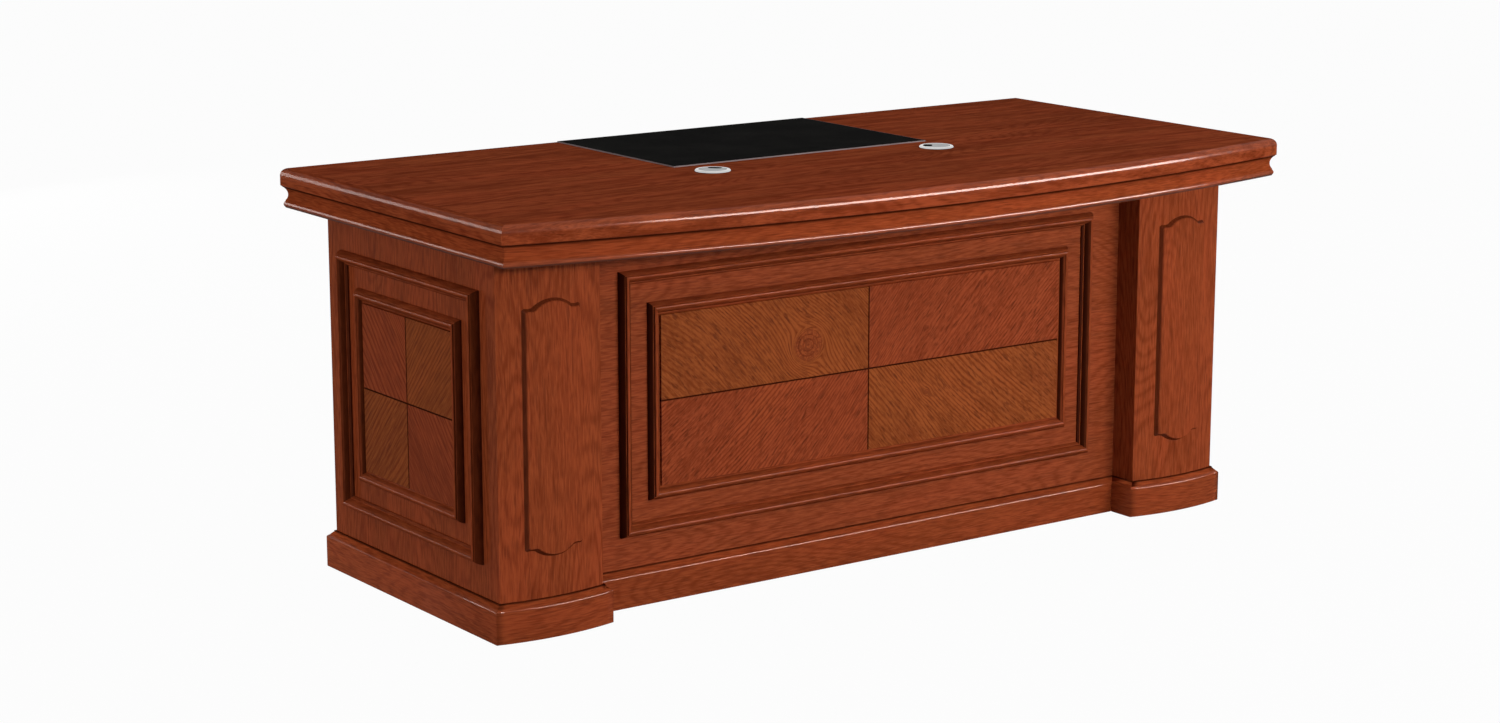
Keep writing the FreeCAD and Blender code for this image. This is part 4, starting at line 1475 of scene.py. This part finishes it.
@dataclass
class Casework:
    """Wooden pieces below the top: pedestals, modesty front, drawers and cupboard.

    Attributes:
        plinth_rounding: Width of the rounding on the plinths' edges.
        plinth_sharp: Height from which those edges stay sharp, to close on the panels above.
    """

    plinth_rounding: float = 1.1 * MM
    plinth_sharp: float = 65 * MM

    STRIPS_SEED = 4.0
    STRIPS_SHINE = {Grain.FRONT_FRAME: 0.05, Grain.SIDE_FRAME: 0.02}
    USER_SHINE = 0.04

    def plinth(self, node: str, veneer: bpy.types.Material) -> None:
        """Add one plinth with rounded edges in place of its CAD node."""
        mesh = softened(node, self.plinth_rounding, self.plinth_sharp)
        add_piece(f"{node}_rounded", mesh, veneer, "desk", [node])

    def dress_pedestals(self) -> None:
        """Finish the pedestals' panels, pilasters, cartouches and plinths."""
        upright = Veneer("veneer_upright", Grain.UPRIGHT, seed=21.0, figure=0.24).build()
        # Cartouche edges get painted shade near the pilaster face.
        cartouche = Veneer("veneer_cartouche", Grain.UPRIGHT, seed=33.0, figure=0.12,
                           shade_and_joint=BowFootShade(PILASTER_BOW_MIDDLE, PILASTER_BOW_RADIUS)).build()
        level = Veneer("veneer_inner_boards", Grain.ALONG_X, seed=41.0).build()
        plinth = Veneer("veneer_plinth", Grain.ROUND_CORNERS, seed=47.0, figure=0.15,
                        shade_and_joint=PlinthGlaze()).build()
        for side in SIDES:
            paint(upright, *(f"{side}_{n}" for n in ("side_panel", "inner_panel", "pilaster",
                                                     "pilaster_return")))
            paint(cartouche, f"{side}_cartouche")
            paint(level, f"{side}_bottom_board", f"{side}_top_board")
            self.plinth(f"{side}_plinth", plinth)
            # The side frames get painted shade on their steep sides.
            self.dress_field(f"{side}_side", Grain.SIDE_FRAME, SIDE_BOARDS, SteepSideShade(0, 0.72))

    def dress_front(self) -> None:
        """Finish the modesty panel with its frames, quarter boards and plinth."""
        panel = Veneer("veneer_modesty", Grain.ALONG_X, tint=(0.240, 0.049, 0.0160), seed=61.0, figure=0.18)
        paint(panel.build(), "modesty_panel")
        plinth = Veneer("veneer_modesty_plinth", Grain.ALONG_X, seed=67.0, figure=0.2, shade_and_joint=PlinthGlaze())
        self.plinth("modesty_plinth", plinth.build())
        # The front frames get painted shade on their steep sides.
        self.dress_field("modesty", Grain.FRONT_FRAME, FRONT_BOARDS, SteepSideShade(1, 0.92))

    def dress_field(self, name: str, strips: Grain, boards: Veneer, shade_and_joint: ShadeAndJoint) -> None:
        """Finish a panelled field.

        Args:
            name: Start of its nodes' names.
            strips: Grain of the frames.
            boards: Finish of the quarter boards, without its name and field.
            shade_and_joint: Painted shade on the frames' sides.
        """
        for ring in ("outer", "inner"):
            node = f"{name}_{ring}_moulding"
            finish = Veneer(f"{name}_{ring}_strips", strips, seed=boards.seed + self.STRIPS_SEED, figure=0.08,
                            shade_and_joint=shade_and_joint, gloss=0.20, shine=self.STRIPS_SHINE[strips],
                            field=FramePlace.of(node))
            paint(finish.build(), node)
        node = f"{name}_quarter_boards"
        paint(replace(boards, name=f"{name}_quarters", field=FramePlace.of(node)).build(), node)

    def dress_user_side(self) -> None:
        """Finish the drawers, the door and the cupboard."""
        fronts = Veneer("veneer_drawer_fronts", Grain.ALONG_X, seed=81.0, figure=0.2,
                        shine=self.USER_SHINE).build()
        door = Veneer("veneer_door", Grain.UPRIGHT, seed=87.0, figure=0.24, shine=self.USER_SHINE).build()
        lining = Veneer("drawer_lining_wood", Grain.ALONG_Y, tint=(0.42, 0.235, 0.110), seed=93.0,
                        figure=0.15, gloss=0.42).build()
        for name in DRAWERS:
            paint(fronts, f"{name}_drawer_front")
            paint(lining, f"{name}_drawer_box")
        paint(door, "cupboard_door")
        paint(Veneer("veneer_shelf", Grain.ALONG_X, seed=97.0).build(), "cupboard_shelf", "shelf_cleats")


@dataclass
class Ironwork:
    """Pulls, hinges and slides.

    Attributes:
        rounding: Width of the rounding on the pulls' edges.
    """

    rounding: float = 1.3 * MM

    def dress(self) -> None:
        """Add rounded pulls and finish the hinges and slides."""
        nickel = Metal("pull_satin_nickel", (0.60, 0.58, 0.55), 0.27, 0.10).build()
        brass = Metal("hinge_satin_brass", (0.62, 0.42, 0.16), 0.30, 0.10).build()
        zinc = Metal("slide_zinc_steel", (0.58, 0.59, 0.60), 0.36, 0.14, (900.0, 60.0, 900.0)).build()
        for name in DRAWERS:
            self.pull(f"{name}_drawer", f"{name}_drawer_pull", nickel)
            paint(zinc, f"{name}_drawer_slide_bars")
        self.pull("door", "door_pull", nickel)
        paint(zinc, "slide_channels")
        paint(brass, "hinge_frame_leaves", "hinge_door_leaves", "hinge_pins")

    def pull(self, body: str, node: str, metal: bpy.types.Material) -> None:
        """Add one rounded pull in place of its CAD node."""
        add_piece(f"{node}_rounded", softened(node, self.rounding), metal, body, [node])


@dataclass
class ScrewKind:
    """Sizes of one kind of cross-slot screw head.

    Attributes:
        radius: Head radius.
        height: Head height.
        slot: Width of the slots.
    """

    radius: float
    height: float
    slot: float


PAN_HEAD = ScrewKind(3.4 * MM, 1.8 * MM, 0.9 * MM)
FLUSH_HEAD = ScrewKind(2.6 * MM, 0.08 * MM, 0.7 * MM)


class ScrewHeads:
    """Cross-slot heads set on points by a Geometry Nodes tree."""

    SEED = 11
    FACES = 20
    CROWN = 0.72
    SLOT_REACH, SLOT_DEPTH = 1.15, 0.9
    INPUTS = {"Head Radius": "Float", "Head Height": "Float", "Slot Width": "Float", "Metal": "Material"}

    def __init__(self, metal: bpy.types.Material) -> None:
        """Build the tree once for every group of screws.

        Args:
            metal: The screws' finish.
        """
        self.metal = metal
        self.tree = bpy.data.node_groups.new("screw_heads", "GeometryNodeTree")
        face = self.tree.interface
        face.new_socket("Points", in_out="INPUT", socket_type="NodeSocketGeometry")
        self.sockets = [face.new_socket(name, in_out="INPUT", socket_type=f"NodeSocket{kind}").identifier
                        for name, kind in self.INPUTS.items()]
        face.new_socket("Screws", in_out="OUTPUT", socket_type="NodeSocketGeometry")
        self._sketch()

    def _sketch(self) -> None:
        """Build the tree: a bevelled head, two slots cut from it, one head on each point."""
        nodes = Nodes(self.tree)
        points = nodes.node("NodeGroupInput", out="Points")
        radius, height, slot, metal = (points.output(name) for name in self.INPUTS)
        cone = {"Vertices": self.FACES, "Radius Top": radius * self.CROWN, "Radius Bottom": radius,
                "Depth": height}
        head = nodes.node("GeometryNodeMeshCone", sockets=cone, out="Mesh")
        reach = radius * self.SLOT_REACH
        deep = height * self.SLOT_DEPTH
        cross = [nodes.node("GeometryNodeMeshCube", sockets={"Size": nodes.vector(*size)}, out="Mesh")
                 for size in ((reach, slot, deep), (slot, reach, deep))]
        raised = [nodes.node("GeometryNodeTransform", sockets={
            "Geometry": bar, "Translation": nodes.vector(0.0, 0.0, height)}) for bar in cross]
        cut = nodes.node("GeometryNodeMeshBoolean", {"operation": "DIFFERENCE"},
                         {"Mesh 1": head, "Mesh 2": raised}, "Mesh")
        facing = nodes.node("GeometryNodeInputNamedAttribute", {"data_type": "FLOAT_VECTOR"},
                            {"Name": "facing"}, "Attribute")
        turn = nodes.node("FunctionNodeAlignRotationToVector", {"axis": "Z"}, {"Vector": facing})
        set_out = nodes.node("GeometryNodeInstanceOnPoints", sockets={
            "Points": points, "Instance": cut, "Rotation": turn})
        spin = nodes.node("FunctionNodeRandomValue", {"data_type": "FLOAT"},
                          {"Max": math.pi / 2, "Seed": self.SEED}, "Value")
        turned = nodes.node("GeometryNodeRotateInstances", sockets={
            "Instances": set_out, "Rotation": nodes.vector(0.0, 0.0, spin), "Local Space": True})
        real = nodes.node("GeometryNodeRealizeInstances", sockets={"Geometry": turned})
        coated = nodes.node("GeometryNodeSetMaterial", sockets={"Geometry": real, "Material": metal})
        nodes.node("NodeGroupOutput", sockets={"Screws": coated})

    def set_on(self, name: str, body: str, kind: ScrewKind,
               places: list[Screw]) -> None:
        """Add a group of screws to a body.

        Args:
            name: The piece's name.
            body: The body that it moves with.
            kind: Sizes of the heads.
            places: Point under each head and the direction that it faces.
        """
        mesh = bpy.data.meshes.new(name)
        mesh.from_pydata([tuple(p) for p, _ in places], [], [])
        facing = mesh.attributes.new("facing", "FLOAT_VECTOR", "POINT")
        for item, (_, direction) in zip(facing.data, places):
            item.vector = direction
        holder = placed(name, mesh)
        modifier = holder.modifiers.new("heads", "NODES")
        modifier.node_group = self.tree
        for socket, value in zip(self.sockets, (kind.radius, kind.height, kind.slot, self.metal)):
            modifier[socket] = value
        add_piece(name, evaluated_mesh(holder), None, body)


@dataclass
class Fixings:
    """Screws that hold the slides, pulls and hinges.

    Attributes:
        slide_inset: Distance of the end screws from a slide's ends.
        slide_count: Screws in each slide.
        pull_span: Distance between a pull's two screws.
        hinge_pitch: Distance between the screws of a hinge leaf.
        hinge_height: Height of a hinge leaf.
        hinge_inset: Distance of its screws from the leaf's free edge.
        pin_radius: Radius of the hinge pins.
        leaf_off: Distance of a leaf's open face from the pins' axis.
        web: Thickness of a slide's sheet.
        bar_width: Width of a slide's bar.
    """

    slide_inset: float = 32 * MM
    slide_count: int = 4
    pull_span: float = 128 * MM
    hinge_pitch: float = 21 * MM
    hinge_height: float = 64 * MM
    hinge_inset: float = 11 * MM
    pin_radius: float = 2.0 * MM
    leaf_off: float = 0.1 * MM
    web: float = 1.6 * MM
    bar_width: float = 10.8 * MM

    def slide_places(self, node: str) -> list[Screw]:
        """Screws along the webs of a pair of slide bars, which are on the drawer's side.

        Args:
            node: The node of the bars, one pair.

        Returns:
            Points and facings.
        """
        low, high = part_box(node)
        places = []
        for bar_x, facing in ((low.x, -1), (high.x, 1)):
            face_x = bar_x - facing * (self.bar_width - self.web)
            for i in range(self.slide_count):
                share = i / (self.slide_count - 1)
                y = low.y + self.slide_inset + (high.y - low.y - 2 * self.slide_inset) * share
                places.append((Vector((face_x, y, (low.z + high.z) / 2)), Vector((facing, 0, 0))))
        return places

    def pull_places(self, pull: str, front: str, upright: bool = False) -> list[Screw]:
        """The two screws behind a front that hold its pull.

        Args:
            pull: The pull's node.
            front: The front's node.
            upright: Whether the pull stands upright.

        Returns:
            Points and facings.
        """
        low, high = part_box(pull)
        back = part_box(front)[0].y
        middle = (low + high) / 2
        step = Vector((0, 0, 1)) if upright else Vector((1, 0, 0))
        return [(Vector((middle.x, back, middle.z)) + step * (side * self.pull_span / 2), Vector((0, -1, 0)))
                for side in (-1, 1)]

    def hinge_places(self, node: str, facing: int) -> list[Screw]:
        """Three screws on the flat of each hinge leaf.

        Args:
            node: The node of the two leaves.
            facing: 1 where the leaves' open faces look along +X, else -1.

        Returns:
            Points and facings.
        """
        low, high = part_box(node)
        axis_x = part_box("hinge_pins")[0].x + self.pin_radius
        face_x = axis_x - facing * self.leaf_off
        half = self.hinge_height / 2
        places = []
        for z in (low.z + half, high.z - half):
            for step in (-1, 0, 1):
                point = Vector((face_x, low.y + self.hinge_inset, z + step * self.hinge_pitch))
                places.append((point, Vector((facing, 0, 0))))
        return places

    def dress(self) -> None:
        """Add every group of screws."""
        steel = ScrewHeads(Metal("screw_zinc_steel", (0.62, 0.62, 0.60), 0.28).build())
        brass = ScrewHeads(Metal("screw_brass", (0.66, 0.46, 0.18), 0.26).build())
        for name in DRAWERS:
            body = f"{name}_drawer"
            steel.set_on(f"{body}_slide_screws", body, PAN_HEAD,
                         self.slide_places(f"{body}_slide_bars"))
            steel.set_on(f"{body}_pull_screws", body, PAN_HEAD,
                         self.pull_places(f"{body}_pull", f"{body}_front"))
        steel.set_on("door_pull_screws", "door", PAN_HEAD,
                     self.pull_places("door_pull", "cupboard_door", True))
        brass.set_on("hinge_frame_screws", "desk", FLUSH_HEAD,
                     self.hinge_places("hinge_frame_leaves", -1))
        brass.set_on("hinge_door_screws", "door", FLUSH_HEAD,
                     self.hinge_places("hinge_door_leaves", 1))


class Reach(Enum):
    """Layers of a surface that a light reaches."""

    MATT = "its colour"
    GLOSS = "its mirror layer"


@dataclass(frozen=True)
class Softbox:
    """One area light.

    Attributes:
        name: The light's name.
        place: Where it stands.
        aim: The point that it faces.
        size: Width and height.
        power: Watts.
        reach: Which of the surfaces' layers it lights.
    """

    name: str
    place: Place
    aim: Place
    size: Point
    power: float
    reach: Reach = Reach.MATT

    def build(self) -> bpy.types.Object:
        """Add the light to the scene.

        Returns:
            The lamp.
        """
        light = bpy.data.lights.new(self.name, "AREA")
        light.shape, light.energy = "RECTANGLE", self.power
        light.size, light.size_y = self.size
        lamp = placed(self.name, light)
        lamp.location = self.place
        lamp.rotation_euler = (Vector(self.aim) - Vector(self.place)).to_track_quat("-Z", "Y").to_euler()
        lamp.visible_camera = False
        lamp.visible_glossy = self.reach is Reach.GLOSS
        lamp.visible_diffuse = self.reach is Reach.MATT
        return lamp


@dataclass
class Studio:
    """White floor, pale world, softboxes and the photograph's camera.

    Attributes:
        camera_place: Where the camera stands.
        turn: Degrees that it looks to the right of +Y.
        dip: Degrees that it looks down.
        lens: Focal length on a sensor of the given width, both in millimetres.
        sensor: Sensor width.
        ambient: Strength of the world's soft light.
        floor_reach: Half width of the floor.
        floor_white: Share of the floor's plain white in the camera's view.
        floor_shade: Colour of the floor where it lights the desk.
    """

    camera_place: Place = (-3.4989, -4.6971, 1.6165)
    turn: float = 35.554
    dip: float = 12.150
    lens: float = 73.90
    sensor: float = 36.0
    ambient: float = 0.36
    floor_reach: float = 60.0
    floor_white: float = 0.97
    floor_shade: Colour = (0.24, 0.24, 0.24)

    LIGHTS = (
        Softbox("key", (2.4, -3.6, 3.2), (0.1, -0.2, 0.5), (2.4, 1.2), 8.0),
        Softbox("sheen", (2.3, -3.3, 1.4), (0.8, -0.55, 0.75), (4.1, 1.3), 860.0, Reach.GLOSS),
        Softbox("front_fill", (0.9, -3.7, 1.42), (0.0, -0.2, 0.5), (3.2, 0.25), 117.0),
        Softbox("left_sheen", (-2.9, 3.6, 1.02), (-0.9, 0.05, 0.75), (3.0, 1.4), 260.0, Reach.GLOSS),
        Softbox("top_fill", (0.0, 0.4, 3.6), (0.0, 0.1, 0.7), (3.0, 1.6), 9.0),
        Softbox("left_fill", (-4.8, 0.3, 0.95), (-0.8, 0.0, 0.4), (2.2, 1.8), 52.0),
        Softbox("rear_fill", (-0.8, 4.8, 0.95), (0.0, 0.3, 0.4), (3.4, 1.6), 130.0),
        Softbox("right_fill", (4.8, 0.3, 0.95), (0.8, 0.0, 0.4), (2.2, 1.8), 42.0),
    )

    def floor(self) -> None:
        """Add the pale floor, plain white to the eye but for the desk's shadow."""
        reach = self.floor_reach
        mesh = bpy.data.meshes.new("floor")
        corners = [(-reach, -reach, 0), (reach, -reach, 0), (reach, reach, 0), (-reach, reach, 0)]
        mesh.from_pydata(corners, [], [(0, 1, 2, 3)])
        floor = placed("floor", mesh)
        material = bpy.data.materials.new("floor_white")
        shader = Shader(material)
        matt = shader.node("ShaderNodeBsdfDiffuse", sockets={"Color": rgba(self.floor_shade)})
        white = shader.node("ShaderNodeEmission", sockets={"Color": rgba(WHITE), "Strength": 1.0})
        share = shader.seen() * self.floor_white
        shown = shader.node("ShaderNodeMixShader", sockets={0: share, 1: matt, 2: white})
        shader.node("ShaderNodeOutputMaterial", sockets={"Surface": shown})
        mesh.materials.append(material)

    def sky(self) -> None:
        """White world to the eye and in mirrors, soft light elsewhere."""
        world = bpy.data.worlds.new("studio")
        bpy.context.scene.world = world
        shader = Shader(world)
        level = self.ambient + shader.seen() * (1.0 - self.ambient)
        sky = shader.node("ShaderNodeBackground", sockets={"Color": rgba(WHITE), "Strength": level})
        shader.node("ShaderNodeOutputWorld", sockets={"Surface": sky})

    def bare_metal(self) -> bpy.types.Collection:
        """Collect the metal pieces, which the lamps for the lacquer's sheen leave out.

        Returns:
            The collection.
        """
        spared = bpy.data.collections.new("bare_metal")
        for piece in bpy.context.scene.objects:
            if piece.type == "MESH" and any(finish in Metal.made for finish in piece.data.materials):
                spared.objects.link(piece)
        for member in spared.collection_objects:
            member.light_linking.link_state = "EXCLUDE"
        return spared

    def camera(self) -> None:
        """Add the camera at the photograph's view."""
        data = bpy.data.cameras.new("camera")
        data.lens, data.sensor_width, data.sensor_fit = self.lens, self.sensor, "HORIZONTAL"
        camera = placed("camera", data)
        camera.location = self.camera_place
        camera.rotation_euler = Euler((math.radians(90 - self.dip), 0.0, math.radians(-self.turn)))
        bpy.context.scene.camera = camera

    def build(self) -> None:
        """Set up the whole studio."""
        self.floor()
        self.sky()
        spared = self.bare_metal()
        for light in self.LIGHTS:
            lamp = light.build()
            if light.reach is Reach.GLOSS:
                lamp.light_linking.receiver_collection = spared
        self.camera()
        bpy.context.scene.view_settings.view_transform = "Standard"


def main() -> None:
    """Dress the desk piece by piece and set up the studio."""
    logging.basicConfig(level=logging.INFO, format="%(message)s")
    casework = Casework()
    casework.dress_pedestals()
    casework.dress_front()
    casework.dress_user_side()
    DeskTop().dress()
    WritingPad().dress()
    Grommets().dress()
    Ironwork().dress()
    Fixings().dress()
    Studio().build()


if __name__ == "__main__":
    main()
